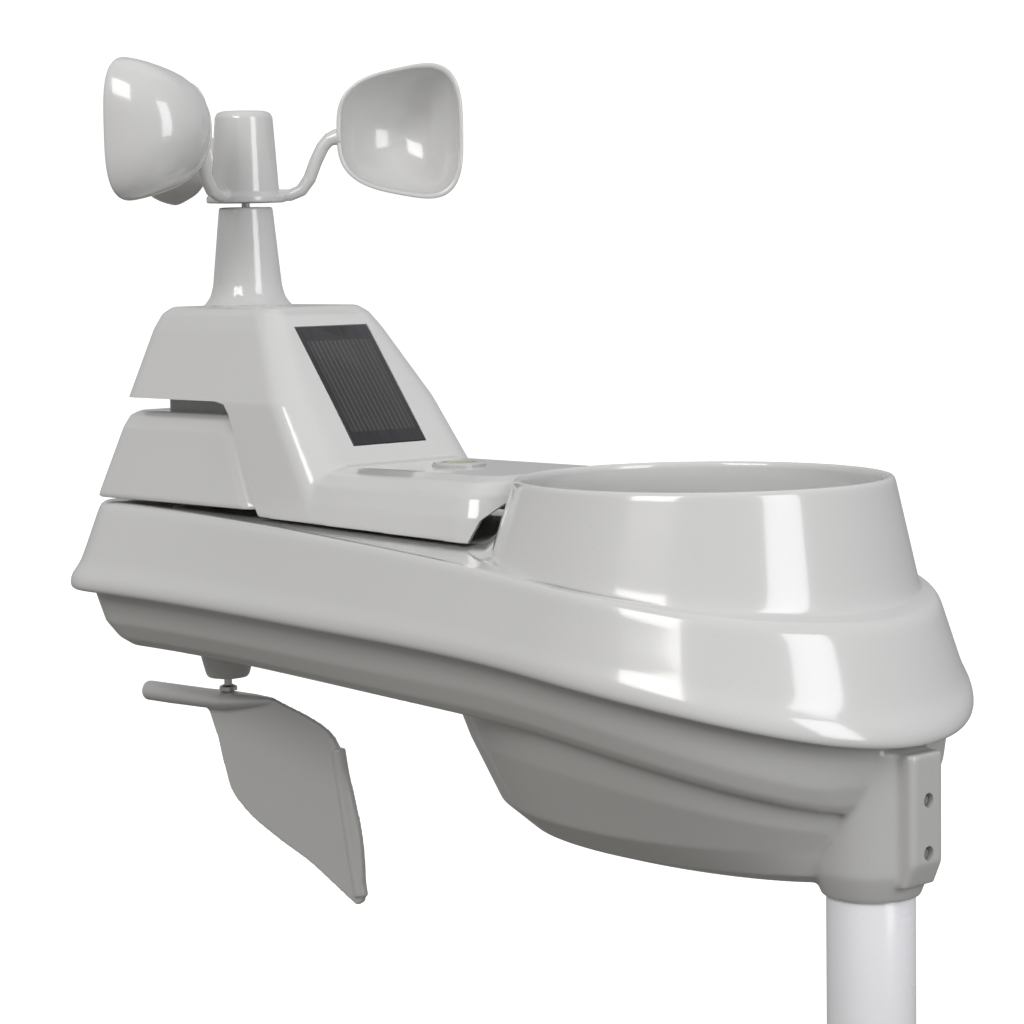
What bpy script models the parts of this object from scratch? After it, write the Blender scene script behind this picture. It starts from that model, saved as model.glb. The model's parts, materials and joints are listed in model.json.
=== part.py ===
"""Outdoor weather sensor head on a short pole: wind cups, wind vane, tipping-bucket rain gauge,
solar-powered fan shield and battery bay.

All dimensions are in millimetres; the mesh builders turn them into metres. +Z is up. The pole's
axis is X = Y = 0, the body reaches away from it along -X, and Y = 0 is the symmetry plane.
The head's heights are measured from the bottom of its pole socket, HEAD above the foot.
"""

from math import atan2, cos, pi, radians, sin

import bmesh
import bpy
from mathutils import Matrix, Vector

MM = 0.001
HEAD = 150.0            # height of the socket's lower lip above the foot's underside
GAP = 0.3               # clearance between pieces that touch
WALL = 2.4              # moulded wall

# Pole, foot and socket
POLE_R, POLE_BORE_R = 13.35, 10.45
POLE_TOP = 52.0
FOOT_R, FOOT_PLATE, COLLAR_R, COLLAR_TOP = 45.0, 7.0, 18.5, 40.0
FOOT_HOLE_PCD_R, FOOT_HOLE_R = 34.0, 2.6
SOCKET_R, SOCKET_PAD_X, SOCKET_PAD_HALF = 17.6, 21.6, 7.5
SOCKET_SCREW_Z = (31.0, 15.2)

SCREW_POSTS = [(-325.0, 0.0), (-262.0, 30.0), (-262.0, -30.0)]

# Body outlines: pole end, half width at the funnel, vane end, half width there, corner radius
FUNNEL_X = -65.8
FLANGE = (21.5, 75.5, -349.5, 52.0, 24.0)
SHOULDER = (10.5, 70.0, -340.5, 42.0, 18.0)
TUB = (15.5, 69.0, -344.0, 46.0, 20.0)
TUB_FOOT = (9.0, 62.0, -333.0, 35.0, 16.0)

# Rain cone and funnel
RIM_Z, RIM_R, CONE_BASE_R = 122.2, 59.4, 67.2
NOTCH_PROFILE = [(CONE_BASE_R + 12.0, 85.0), (CONE_BASE_R + 9.5, 100.0), (CONE_BASE_R + 5.6, 107.0),
                 (RIM_R + 4.6, 114.0), (RIM_R + 3.6, 124.0)]   # room for the cone beside the deck
FUNNEL_EDGE_Z, FUNNEL_SPOUT_Z, SPOUT_R = 96.0, 66.0, 4.0

# Wind instruments
TOWER_X, NECK_R, NECK_TOP = -289.5, 9.8, 209.8
HUB_BOTTOM, HUB_TOP = 211.4, 244.6
CUP_ARM_R, CUP_Z, CUP_HALF, CUP_DEPTH = 57.0, 236.4, 23.2, 23.5
CUP_SETBACK = 10.0      # the bowl trails its arm by this much
CUP_TAPER = 0.2         # the mouth grows taller away from the hub
CUP_AZIMUTHS = (46.0, 166.0, 286.0)
GRUB_AZIMUTH, GRUB_Z = 110.0, 224.0
VANE_X, VANE_AZIMUTH = -307.0, 8.0
BOSS_BOTTOM = 34.6

# Tipping bucket: axle along Y, rests tilted on one stop
AXLE = (FUNNEL_X, 0.0, 30.0)
TILT = 17.0
STOP_TOP = 31.6

# Battery bay in the tub's floor
DOOR_X0, DOOR_X1, DOOR_HALF = -226.0, -160.0, 29.0
TUB_FLOOR = 49.0
CELL_R, CELL_LENGTH = 7.1, 49.5


# Roof fittings: the sloping face falls FACE_DROP over FACE_RUN
FACE_DROP, FACE_RUN = 64.5, 49.0
PANEL_TILT = atan2(FACE_DROP, FACE_RUN)
PANEL_LENGTH, PANEL_HALF = 50.5, 16.7
PANEL_MID = (-227.8, 0.0, 146.6)
LEVEL_X = -177.5

# Duct of the shield: vane end, pole end, half width
CORE = (-312.5, -266.5, 22.0)

COLOURS = {
    "shell": ((0.66, 0.66, 0.64), 0.28, 0.0), "tub": ((0.55, 0.55, 0.53), 0.4, 0.0),
    "pole": ((0.85, 0.85, 0.87), 0.35, 0.0), "cell": ((0.03, 0.03, 0.035), 0.2, 0.0),
    "steel": ((0.6, 0.6, 0.62), 0.3, 1.0), "brass": ((0.7, 0.55, 0.25), 0.35, 1.0),
    "black": ((0.03, 0.03, 0.03), 0.5, 0.0), "board": ((0.05, 0.22, 0.1), 0.5, 0.0),
    "battery": ((0.35, 0.35, 0.37), 0.3, 0.4), "rubber": ((0.05, 0.05, 0.05), 0.8, 0.0),
    "lens": ((0.75, 0.85, 0.4), 0.05, 0.0),
}


def clear_scene():
    for item in list(bpy.data.objects):
        bpy.data.objects.remove(item, do_unlink=True)


def material(kind):
    found = bpy.data.materials.get(kind)
    if found:
        return found
    colour, roughness, metallic = COLOURS[kind]
    made = bpy.data.materials.new(kind)
    made.use_nodes = True
    shader = made.node_tree.nodes["Principled BSDF"]
    shader.inputs["Base Color"].default_value = (*colour, 1.0)
    shader.inputs["Roughness"].default_value = roughness
    shader.inputs["Metallic"].default_value = metallic
    return made


# ---------------------------------------------------------------- mesh builders

def finish(name, mesh, kind, origin=(0.0, 0.0, 0.0)):
    """Scales a mesh drawn in head millimetres to metres about origin and places it."""
    mesh.transform(Matrix.Translation([-c for c in origin]))
    mesh.transform(Matrix.Scale(MM, 4))
    item = bpy.data.objects.new(name, mesh)
    item.location = [origin[0] * MM, origin[1] * MM, (origin[2] + HEAD) * MM]
    item.data.materials.append(material(kind))
    bpy.context.scene.collection.objects.link(item)
    mesh.shade_smooth()
    mesh.set_sharp_from_angle(angle=radians(38))
    return item


def mesh_of(name, points, faces):
    mesh = bpy.data.meshes.new(name)
    mesh.from_pydata([tuple(p) for p in points], [], faces)
    tidy = bmesh.new()
    tidy.from_mesh(mesh)
    bmesh.ops.remove_doubles(tidy, verts=tidy.verts, dist=1e-4)
    bmesh.ops.recalc_face_normals(tidy, faces=tidy.faces)
    tidy.to_mesh(mesh)
    tidy.free()
    return mesh


def loft(name, rings, kind, wrap=False, origin=(0.0, 0.0, 0.0)):
    """Skins equal rings of points; wrap joins the last ring to the first, else both ends close."""
    count = len(rings[0])
    points = [p for ring in rings for p in ring]
    faces = []
    for r in range(len(rings) if wrap else len(rings) - 1):
        a, b = r * count, (r + 1) % len(rings) * count
        for i in range(count):
            j = (i + 1) % count
            faces.append((a + i, a + j, b + j, b + i))
    if not wrap:
        for start, ring in ((0, rings[0]), ((len(rings) - 1) * count, rings[-1])):
            centre = sum((Vector(p) for p in ring), Vector()) / count
            points.append(tuple(centre))
            hub = len(points) - 1
            faces += [(start + i, start + (i + 1) % count, hub) for i in range(count)]
    return finish(name, mesh_of(name, points, faces), kind, origin)


def circle(radius, x, y, z, steps=32, turn=0.0):
    angles = [2 * pi * i / steps + turn for i in range(steps)]
    return [(x + radius * cos(a), y + radius * sin(a), z) for a in angles]


def turned(name, profile, x, y, kind, steps=32, wrap=False, origin=(0.0, 0.0, 0.0)):
    """A turned piece about a vertical axis at x, y, from (radius, z) points."""
    rings = [circle(r, x, y, z, steps) for r, z in profile]
    return loft(name, rings, kind, wrap, origin)


def tube(name, r_out, r_in, z0, z1, x, y, kind, steps=32, origin=(0.0, 0.0, 0.0)):
    profile = [(r_out, z0), (r_out, z1), (r_in, z1), (r_in, z0)]
    return turned(name, profile, x, y, kind, steps, True, origin)


def rod(name, start, end, radius, kind, steps=16, origin=(0.0, 0.0, 0.0)):
    a, b = Vector(start), Vector(end)
    along = (b - a).normalized()
    side = along.orthogonal().normalized()
    other = along.cross(side)
    rings = []
    for centre in (a, b):
        rings.append([centre + radius * (cos(t) * side + sin(t) * other)
                      for t in (2 * pi * i / steps for i in range(steps))])
    return loft(name, rings, kind, origin=origin)


def box(name, low, high, kind, bevel=0.0, origin=(0.0, 0.0, 0.0)):
    shape = bmesh.new()
    bmesh.ops.create_cube(shape, size=1.0)
    for v in shape.verts:
        v.co = [low[i] + (v.co[i] + 0.5) * (high[i] - low[i]) for i in range(3)]
    if bevel:
        bmesh.ops.bevel(shape, geom=shape.edges[:], offset=bevel, segments=2,
                        profile=0.5, affect="EDGES")
    mesh = bpy.data.meshes.new(name)
    shape.to_mesh(mesh)
    shape.free()
    return finish(name, mesh, kind, origin)


def rounded(x0, x1, half, corner, z, steps=5):
    """A rectangle with round corners in plan: x0..x1 by -half..half."""
    points = []
    corners = ((x1, half, 0), (x0, half, 90), (x0, -half, 180), (x1, -half, 270))
    for cx, cy, start in corners:
        px = cx - corner if cx == x1 else cx + corner
        py = cy - corner if cy > 0 else cy + corner
        for i in range(steps + 1):
            a = radians(start + 90 * i / steps)
            points.append((px + corner * cos(a), py + corner * sin(a), z))
    return points


def cut(target, cutter, operation="DIFFERENCE"):
    """Boolean by a helper object, which stays out of the part."""
    cutter.hide_render = True
    cutter.display_type = "WIRE"
    step = target.modifiers.new(operation.lower(), "BOOLEAN")
    step.operation = operation
    # The housing's long, slightly twisted floor faces defeat the exact solver.
    step.solver = "MANIFOLD" if target.name == "lower_housing" else "EXACT"
    step.object = cutter
    return target


def join(target, other):
    return cut(target, other, "UNION")


# ---------------------------------------------------------------- the body's lines

def flange_z(x):
    """Lower edge of the upper shell: level at the vane end, drooping towards the pole."""
    return 70.0 - 23.5 * max(0.0, (x + 170.0) / 191.0) ** 3


def shoulder_z(x):
    return 103.0 - 0.02 * (x + 330.0) - 14.3 * max(0.0, (x + 165.0) / 180.0) ** 2


def plate_z(x):
    """Top of the plate inside the shoulder: almost flush under the roof, raised at the cone."""
    return shoulder_z(x) + 0.2 + 0.8 * ease((x + 125.0) / 60.0)


def tub_foot_z(x):
    """Lower edge of the tub's side wall, which deepens into the pole socket."""
    return TUB_FLOOR - 22.0 * min(1.0, max(0.0, (x + 130.0) / 135.0)) ** 2.5


def ease(t):
    t = min(1.0, max(0.0, t))
    return t * t * (3 - 2 * t)


def outline(shape, inset=0.0, arc=9, side=8, corner=4):
    """Plan outline, anticlockwise from the pole end: half ellipse, flared sides, round corners."""
    end, wide, far, narrow, radius = shape
    end, wide, far, narrow = end - inset, wide - inset, far + inset, narrow - inset
    radius = max(2.0, radius - inset)
    reach = end - FUNNEL_X
    half = [(FUNNEL_X + reach * cos(a), wide * sin(a))
            for a in (pi / 2 * i / arc for i in range(arc + 1))]
    side_end = far + radius
    for i in range(1, side + 1):
        x = FUNNEL_X + (side_end - FUNNEL_X) * i / side
        flare = ease((x - side_end) / (FUNNEL_X - side_end))
        half.append((x, narrow + (wide - narrow) * flare))
    for i in range(1, corner + 1):
        a = pi / 2 + pi / 2 * i / corner
        half.append((side_end + radius * cos(a), narrow - radius + radius * sin(a)))
    half.append((far, (narrow - radius) / 2))
    mirrored = [(x, -y) for x, y in reversed(half[1:])]
    return half + [(far, 0.0)] + mirrored


def between(shape_a, shape_b, t):
    return tuple(a + (b - a) * t for a, b in zip(shape_a, shape_b))


def lifted(points, height):
    return [(x, y, height(x)) for x, y in points]


def matched_circle(radius, count, height):
    """Circle about the funnel axis with as many points as a body outline, same start and turn."""
    return [(FUNNEL_X + radius * cos(a), radius * sin(a), height(FUNNEL_X + radius * cos(a)))
            for a in (2 * pi * i / count for i in range(count))]


def blend_rings(a, b, fractions):
    return [[tuple(p + (q - p) * t for p, q in zip(u, v)) for u, v in zip(a, b)]
            for t in fractions]


# ---------------------------------------------------------------- pole and foot

def pole_and_foot():
    base = -HEAD
    foot = turned("pole_foot", [(FOOT_R - 2, base), (FOOT_R, base + 2), (FOOT_R, base + 5),
                                (FOOT_R - 2, base + FOOT_PLATE), (COLLAR_R + 4, base + 9),
                                (COLLAR_R, base + 14), (COLLAR_R, base + COLLAR_TOP - 1.5),
                                (COLLAR_R - 1.5, base + COLLAR_TOP),
                                (POLE_R + GAP, base + COLLAR_TOP),
                                (POLE_R + GAP, base + 4)],
                  0, 0, "tub", 28)
    for i in range(4):
        a = pi / 4 + pi / 2 * i
        hole = rod(f"foot_hole_cutter_{i}",
                   (FOOT_HOLE_PCD_R * cos(a), FOOT_HOLE_PCD_R * sin(a), base - 5),
                   (FOOT_HOLE_PCD_R * cos(a), FOOT_HOLE_PCD_R * sin(a), base + 20), FOOT_HOLE_R,
                   "tub", 12)
        cut(foot, hole)
    cut(foot, rod("foot_screw_cutter", (POLE_R, 0, base + 28), (30, 0, base + 28), 2.4, "tub", 12))
    screw("foot_screw", (COLLAR_R + GAP, 0, base + 28), (-1, 0, 0), 3.6, 2.0, COLLAR_R - POLE_R - 0.3)
    tube("mast_pole", POLE_R, POLE_BORE_R, base + 4 + GAP, POLE_TOP, 0, 0, "pole", 32)


def screw(name, seat, into, head_r, shank_r, length, kind="steel", origin=(0.0, 0.0, 0.0)):
    """Pan-head screw: seat is under its head, into is the way its shank points."""
    way = Vector(into).normalized()
    side = way.orthogonal().normalized()
    other = way.cross(side)
    steps = 12
    rings = []
    profile = [(head_r * 0.6, -head_r * 0.75), (head_r, -head_r * 0.4), (head_r, 0.0),
               (shank_r, 0.0), (shank_r, length)]
    for radius, along in profile:
        centre = Vector(seat) + way * along
        rings.append([centre + radius * (cos(a) * side + sin(a) * other)
                      for a in (2 * pi * i / steps for i in range(steps))])
    return loft(name, rings, kind, origin=origin)


# ---------------------------------------------------------------- casings

def under_z(x):
    """Height of the shoulder plate's under side."""
    return plate_z(x) - WALL


def upper_shell():
    """Skirt, shoulder plate and rain cone: one moulding, open below and at the rim."""
    def skirt(t, inset, height):
        return lifted(outline(between(FLANGE, SHOULDER, t), inset), height)

    count = len(outline(FLANGE))
    base = matched_circle(CONE_BASE_R, count, plate_z)
    inner_base = matched_circle(CONE_BASE_R - WALL, count, under_z)
    plate_edge = skirt(1.28, 0.0, shoulder_z)
    under_edge = skirt(1.28, WALL, under_z)
    rings = [
        skirt(0.0, 4.5, flange_z),
        skirt(0.0, 1.0, lambda x: flange_z(x) + 0.4),
        skirt(0.0, 0.0, lambda x: flange_z(x) + 3.0),
        skirt(0.06, 0.0, lambda x: flange_z(x) + 6.0),
        skirt(0.3, 0.0, lambda x: flange_z(x) + 9.0),
        skirt(0.45, 0.0, lambda x: flange_z(x) + 12.5),
        skirt(1.0, 0.0, lambda x: shoulder_z(x) - 4.0),
        skirt(1.1, 0.0, lambda x: shoulder_z(x) - 1.5),
        plate_edge,
        *blend_rings(plate_edge, base, (0.35, 0.7)),
        base,
        matched_circle(RIM_R + 0.4, count, lambda x: RIM_Z - 3.0),
        matched_circle(RIM_R - 0.4, count, lambda x: RIM_Z - 0.7),
        matched_circle(RIM_R - 1.5, count, lambda x: RIM_Z),
        matched_circle(RIM_R - 2.6, count, lambda x: RIM_Z - 0.9),
        matched_circle(RIM_R - 2.6, count, lambda x: RIM_Z - 3.5),
        inner_base,
        *blend_rings(inner_base, under_edge, (0.3, 0.65)),
        under_edge,
        skirt(1.0, WALL, lambda x: shoulder_z(x) - 5.0),
        skirt(0.45, WALL, lambda x: flange_z(x) + 12.5),
        skirt(0.3, WALL, lambda x: flange_z(x) + 8.0),
    ]
    return loft("upper_shell", rings, "shell", True)


def bowl_ring(left, right, half, height, count):
    """Egg-shaped ring under the funnel, matched to the body outlines' points."""
    points = []
    for i in range(count):
        a = 2 * pi * i / count
        reach = right - FUNNEL_X if cos(a) > 0 else FUNNEL_X - left
        x = FUNNEL_X + reach * cos(a)
        points.append((x, half * sin(a), height(x)))
    return points


def tub_solid(name, inset, top_z, floor):
    """Tub and bowl as a plain closed loft; inset and floor make the hollow inside it."""
    def edge(x):
        return tub_foot_z(x) + floor

    count = len(outline(TUB))
    rings = [
        lifted(outline(TUB, inset), top_z),
        lifted(outline(between(TUB, TUB_FOOT, 0.45), inset), lambda x: tub_foot_z(x) + 9.0),
        lifted(outline(between(TUB, TUB_FOOT, 0.8), inset), lambda x: tub_foot_z(x) + 3.0 + floor * 0.6),
        lifted(outline(between(TUB, TUB_FOOT, 1.15), inset), edge),
        bowl_ring(-164 + inset, 6 - inset, 57.5 - inset, edge, count),
        bowl_ring(-158 + inset, 4 - inset, 53 - inset, lambda x: tub_foot_z(x) * 0.72 + floor, count),
        bowl_ring(-147 + inset, 2 - inset, 44 - inset, lambda x: 15 + floor * 0.8, count),
        bowl_ring(-134 + inset, 0 - inset, 35 - inset, lambda x: 6.5 + floor * 0.9, count),
        bowl_ring(-121 + inset, -6 - inset, 24 - inset, lambda x: 3.0 + floor, count),
    ]
    return loft(name, rings, "tub")


def lower_housing():
    housing = tub_solid("lower_housing", 0.0, lambda x: flange_z(x) + 7.0, 0.0)
    cut(housing, tub_solid("tub_hollow", WALL, lambda x: flange_z(x) + 8.0, WALL))
    socket = turned("socket_solid", [(POLE_R + 1.3, 0.0), (SOCKET_R - 1.2, 4.5),
                                     (SOCKET_R, 8.0), (SOCKET_R, 45.0), (SOCKET_R - 2.0, 46.5),
                                     (SOCKET_R - 2.0, 56.0)],
                    0, 0, "tub", 32)
    join(housing, socket)
    pad = loft("pad_solid", [rounded(0.0, SOCKET_PAD_X - 3, SOCKET_PAD_HALF, 2, 5),
                             rounded(0.0, SOCKET_PAD_X, SOCKET_PAD_HALF, 2, 12),
                             rounded(0.0, SOCKET_PAD_X, SOCKET_PAD_HALF, 2, 45.0)], "tub")
    join(housing, pad)
    boss = turned("boss_solid", [(7.4, BOSS_BOTTOM), (8.2, BOSS_BOTTOM + 1.2), (10.6, 45.0),
                                 (13.0, TUB_FLOOR + 0.6), (9.0, 60.0)], VANE_X, 0, "tub", 24)
    join(housing, boss)
    for i, (x, y) in enumerate(SCREW_POSTS):
        post = turned(f"post_solid_{i}", [(4.6, TUB_FLOOR + 0.4), (4.2, 78.0)], x, y, "tub", 16)
        join(housing, post)
    cut(housing, rod("pole_bore", (0, 0, -5), (0, 0, POLE_TOP + GAP), POLE_R + GAP, "tub", 32))
    cut(housing, rod("vane_bore", (VANE_X, 0, 20), (VANE_X, 0, 64), 4.6, "tub", 16))
    for i, z in enumerate(SOCKET_SCREW_Z):
        cut(housing, rod(f"socket_screw_bore_{i}", (10, 0, z), (30, 0, z), 1.5, "tub", 12))
        cut(housing, rod(f"socket_screw_sink_{i}", (19.0, 0, z), (30, 0, z), 2.1, "tub", 12))
    for i, (x, y) in enumerate(SCREW_POSTS):
        cut(housing, turned(f"post_bore_{i}", [(3.4, 40.0), (3.4, 52.5), (1.8, 52.5), (1.8, 90.0)],
                            x, y, "tub", 14))
    cut(housing, box("door_opening", (DOOR_X0, -DOOR_HALF, 40), (DOOR_X1, DOOR_HALF, 52), "tub"))
    for i, x in enumerate((-96.0, -36.0)):
        cut(housing, rod(f"drain_{i}", (x, 0, -6), (x, 0, 14), 3.0, "tub", 12))
    return housing


def fasteners():
    for i, z in enumerate(SOCKET_SCREW_Z):
        screw(f"socket_screw_{i + 1}", (19.0 + GAP, 0, z), (-1, 0, 0), 1.75, 1.15, 19.0 - POLE_R - 0.3)
    for i, (x, y) in enumerate(SCREW_POSTS):
        screw(f"housing_screw_{i + 1}", (x, y, 52.5 - GAP), (0, 0, 1), 3.0, 1.5, 24.0)


def shield_roof():
    """Solar roof: tower block, sloping panel face, deck over the shell and the tower itself."""
    levels = ((103.0, -333.5, -195, 41.0, 14), (141.0, -322.5, -223, 36.5, 11.5),
              (166.0, -315.5, -242, 28.0, 8.5), (171.5, -313.0, -246.5, 25.5, 8),
              (174.0, -309.5, -250.5, 22.5, 6.5))
    roof = loft("solar_roof", [rounded(x0, x1, hw, r, z) for z, x0, x1, hw, r in levels], "shell")
    deck_levels = ((108.0, -245, -124.5, 40, 13), (114.5, -245, -126.5, 37.5, 12),
                   (118.5, -245, -129.5, 32.5, 11), (120.2, -245, -133, 25.0, 8))
    deck_foot = [(x, y, plate_z(x) + 0.8) for x, y, _ in rounded(-245, -124, 41, 13, 0)]
    deck = loft("deck_solid", [deck_foot] + [rounded(x0, x1, hw, r, z)
                                             for z, x0, x1, hw, r in deck_levels], "shell")
    join(roof, deck)
    tower = turned("tower_solid", [(16.5, 171.0), (15.6, 174.6), (13.6, 177.5), (12.6, 181.5),
                                   (NECK_R, NECK_TOP)], TOWER_X, 0, "shell", 32)
    join(roof, tower)
    # The louver's space: a slanted front edge, open to the vane end.
    louver_space = loft("louver_space", [
        rounded(-400, -233.2, 60, 1, 90), rounded(-400, -236.4, 60, 1, 103.5),
        rounded(-400, -256.0, 60, 1, 137.0), rounded(-400, -259.0, 60, 1, 140.3),
        rounded(-400, -264.0, 60, 1, 141.3)], "shell")
    cut(roof, louver_space)
    wall = 2.2
    room = loft("roof_room", [
        rounded(-323.0 + wall, -223 - wall, 36.5 - wall, 5, 139.0),
        rounded(-315.8 + wall, -242.5 - wall, 27.5 - wall, 5, 166.0),
        rounded(-311.5 + wall, -249.5 - wall, 23.0 - wall, 4, 171.2)], "shell")
    cut(roof, room)
    low_room = loft("roof_low_room", [
        rounded(-231.0, -197, 38.3, 5, 95.0), rounded(-231.0, -198.5, 38.0, 5, 104.0),
        rounded(-253.0, -226, 34.0, 5, 139.6)], "shell")
    cut(roof, low_room)
    deck_room = loft("deck_room", [
        rounded(-206, -126.6, 38.2, 10.5, 95.0), rounded(-206, -127, 37.6, 10.5, 108.0),
        rounded(-206, -129, 34.6, 10, 113.5), rounded(-206, -132, 28.0, 8, 117.6)], "shell")
    cut(roof, deck_room)
    notch = turned("notch_cone", NOTCH_PROFILE, FUNNEL_X, 0, "shell", 48)
    cut(roof, notch)
    cut(roof, rod("shaft_bore", (TOWER_X, 0, 160), (TOWER_X, 0, 220), 5.3, "shell", 20))
    cut(roof, panel_box("panel_pocket", PANEL_LENGTH / 2 + GAP, PANEL_HALF + GAP, -1.4, 6.0))
    cut(roof, rod("level_pocket", (LEVEL_X, 0, 116.5), (LEVEL_X, 0, 130), 9.0 + GAP, "shell", 24))
    return roof


def panel_box(name, half_length, half_width, low, high, kind="cell"):
    """Box on the sloping face: low and high are heights above the face."""
    item = box(name, (-half_length, -half_width, low), (half_length, half_width, high), kind)
    item.rotation_euler = (0.0, PANEL_TILT, 0.0)
    item.location = [PANEL_MID[0] * MM, PANEL_MID[1] * MM, (PANEL_MID[2] + HEAD) * MM]
    return item


def roof_fittings():
    panel_box("solar_panel", PANEL_LENGTH / 2, PANEL_HALF, -1.1, 0.5)
    turned("bubble_level_body", [(8.6, 117.0), (9.0, 117.4), (9.0, 120.9), (8.4, 121.4),
                                 (6.2, 121.4), (6.2, 118.4), (0.6, 118.4), (0.6, 117.0)],
           LEVEL_X, 0, "tub", 28, True)
    turned("bubble_level_lens", [(5.9, 118.7), (5.9, 120.6), (4.0, 121.2), (1.5, 121.4)],
           LEVEL_X, 0, "lens", 24)


def louver_ring():
    outer = ((104.2, -335.0, -238.6, 40.5, 8), (106.0, -334.6, -239.4, 40.3, 8),
             (130.0, -326.0, -255.0, 35.0, 8), (134.5, -324.0, -259.5, 32.5, 7),
             (136.2, -321.0, -263.0, 29.5, 6))
    ring = loft("louver_ring", [rounded(x0, x1, hw, r, z) for z, x0, x1, hw, r in outer], "shell")
    wall = 2.0
    room = loft("louver_room", [
        rounded(-335.0 + wall, -239.6 - wall, 40.2 - wall, 6, 100.0),
        rounded(-326.2 + wall, -256.0 - wall, 34.6 - wall, 5, 131.0),
        rounded(-323.5 + wall, -260.5 - wall, 32.0 - wall, 4, 134.2)], "shell")
    cut(ring, room)
    x0, x1, half = CORE
    cut(ring, loft("louver_hole", [rounded(x0 - GAP, x1 + GAP, half + GAP, 5 + GAP, 120.0),
                                   rounded(x0 - GAP, x1 + GAP, half + GAP, 5 + GAP, 150.0)], "shell"))
    return ring


def shield_core():
    """Square duct standing on the shell, through the louver, up into the roof; slots let air in."""
    x0, x1, half = CORE
    wall = 1.8
    core = loft("shield_core", [
        rounded(x0, x1, half, 5, 104.8), rounded(x0, x1, half, 5, 160.0),
        rounded(x0 + wall, x1 - wall, half - wall, 5 - wall, 160.0),
        rounded(x0 + wall, x1 - wall, half - wall, 5 - wall, 104.8)], "tub", True)
    for i in range(4):
        z = 109.0 + 6.0 * i
        cut(core, box(f"core_slot_{i}", (-330, -15, z), (-250, 15, z + 3.0), "tub"))
    return core


# ---------------------------------------------------------------- wind cups

def cup_hub():
    hub = turned("cup_hub", [(NECK_R + 1.2, HUB_BOTTOM), (14.2, HUB_BOTTOM), (14.2, HUB_BOTTOM + 2.2),
                             (12.4, HUB_BOTTOM + 3.6), (10.6, HUB_TOP - 2.4), (9.8, HUB_TOP - 0.7),
                             (8.0, HUB_TOP), (0.4, HUB_TOP), (0.4, 240.3), (1.9, 240.3),
                             (1.9, 219.0), (9.0, 219.0),
                             (NECK_R + 1.2, HUB_BOTTOM + 3)],
                 TOWER_X, 0, "shell", 24, True, (TOWER_X, 0, CUP_Z))
    for i, azimuth in enumerate(CUP_AZIMUTHS):
        join(hub, arm(f"arm_solid_{i}", azimuth))
    a = radians(GRUB_AZIMUTH)
    cut(hub, rod("grub_bore", (TOWER_X + cos(a), sin(a), GRUB_Z),
                 (TOWER_X + 20 * cos(a), 20 * sin(a), GRUB_Z), 1.5 + GAP, "shell", 10))
    return hub


def arm(name, azimuth):
    """S-shaped arm, an upright oval in section, from the hub's brim to the cup's side."""
    a = radians(azimuth)
    stations = ((11.5, 213.9, 2.6, 2.2), (16.5, 214.0, 2.6, 2.2), (20.5, 215.6, 2.5, 2.3),
                (23.6, 219.8, 2.4, 2.4), (26.0, 226.0, 2.4, 2.4), (28.6, 231.2, 2.5, 2.4),
                (31.0, 233.9, 2.7, 2.5), (32.8, 234.6, 2.9, 2.8))
    rings = []
    for i, (r, z, wide, thick) in enumerate(stations):
        before, after = stations[max(0, i - 1)], stations[min(len(stations) - 1, i + 1)]
        lean = atan2(after[1] - before[1], after[0] - before[0])
        ring = []
        for k in range(8):
            t = 2 * pi * k / 8
            up, across = thick * sin(t), wide * cos(t)
            reach = r - up * sin(lean)
            ring.append((TOWER_X + reach * cos(a) - across * sin(a),
                         reach * sin(a) + across * cos(a), z + up * cos(lean)))
        rings.append(ring)
    return loft(name, rings, "shell", origin=(TOWER_X, 0, CUP_Z))


def cup_section(size, depth, squareness, steps=20):
    """Ring of a cup: a rounded square of half-size size, at depth behind the mouth."""
    ring = []
    for i in range(steps):
        t = 2 * pi * i / steps
        c, s = cos(t), sin(t)
        power = 2.0 / squareness
        ring.append((depth, size * abs(c) ** power * (1 if c > 0 else -1),
                     size * abs(s) ** power * (1 if s > 0 else -1)))
    return ring


def cup(name, azimuth):
    """Thin bowl with a rounded square mouth that faces across its arm."""
    profile = ((0.0, 1.0, 3.2), (0.25, 0.965, 3.0), (0.5, 0.87, 2.7), (0.72, 0.71, 2.4),
               (0.88, 0.5, 2.1), (0.97, 0.26, 2.0), (1.0, 0.07, 2.0))
    wall = 1.5
    outer = [cup_section(CUP_HALF * s, CUP_DEPTH * d, q) for d, s, q in profile]
    inner = [cup_section(max(0.6, CUP_HALF * s - wall), (CUP_DEPTH - wall) * d, q)
             for d, s, q in profile]
    rings = list(reversed(outer)) + inner
    a = radians(azimuth)
    across = a - pi / 2
    front = CUP_DEPTH / 2 - CUP_SETBACK
    placed = []
    for ring in rings:
        placed.append([(TOWER_X + (CUP_ARM_R + u) * cos(a) + (front - d) * cos(across),
                        (CUP_ARM_R + u) * sin(a) + (front - d) * sin(across),
                        CUP_Z + w * (1 + CUP_TAPER * u / CUP_HALF))
                       for d, u, w in ring])
    return loft(name, placed, "shell", origin=(TOWER_X, 0, CUP_Z))


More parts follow.
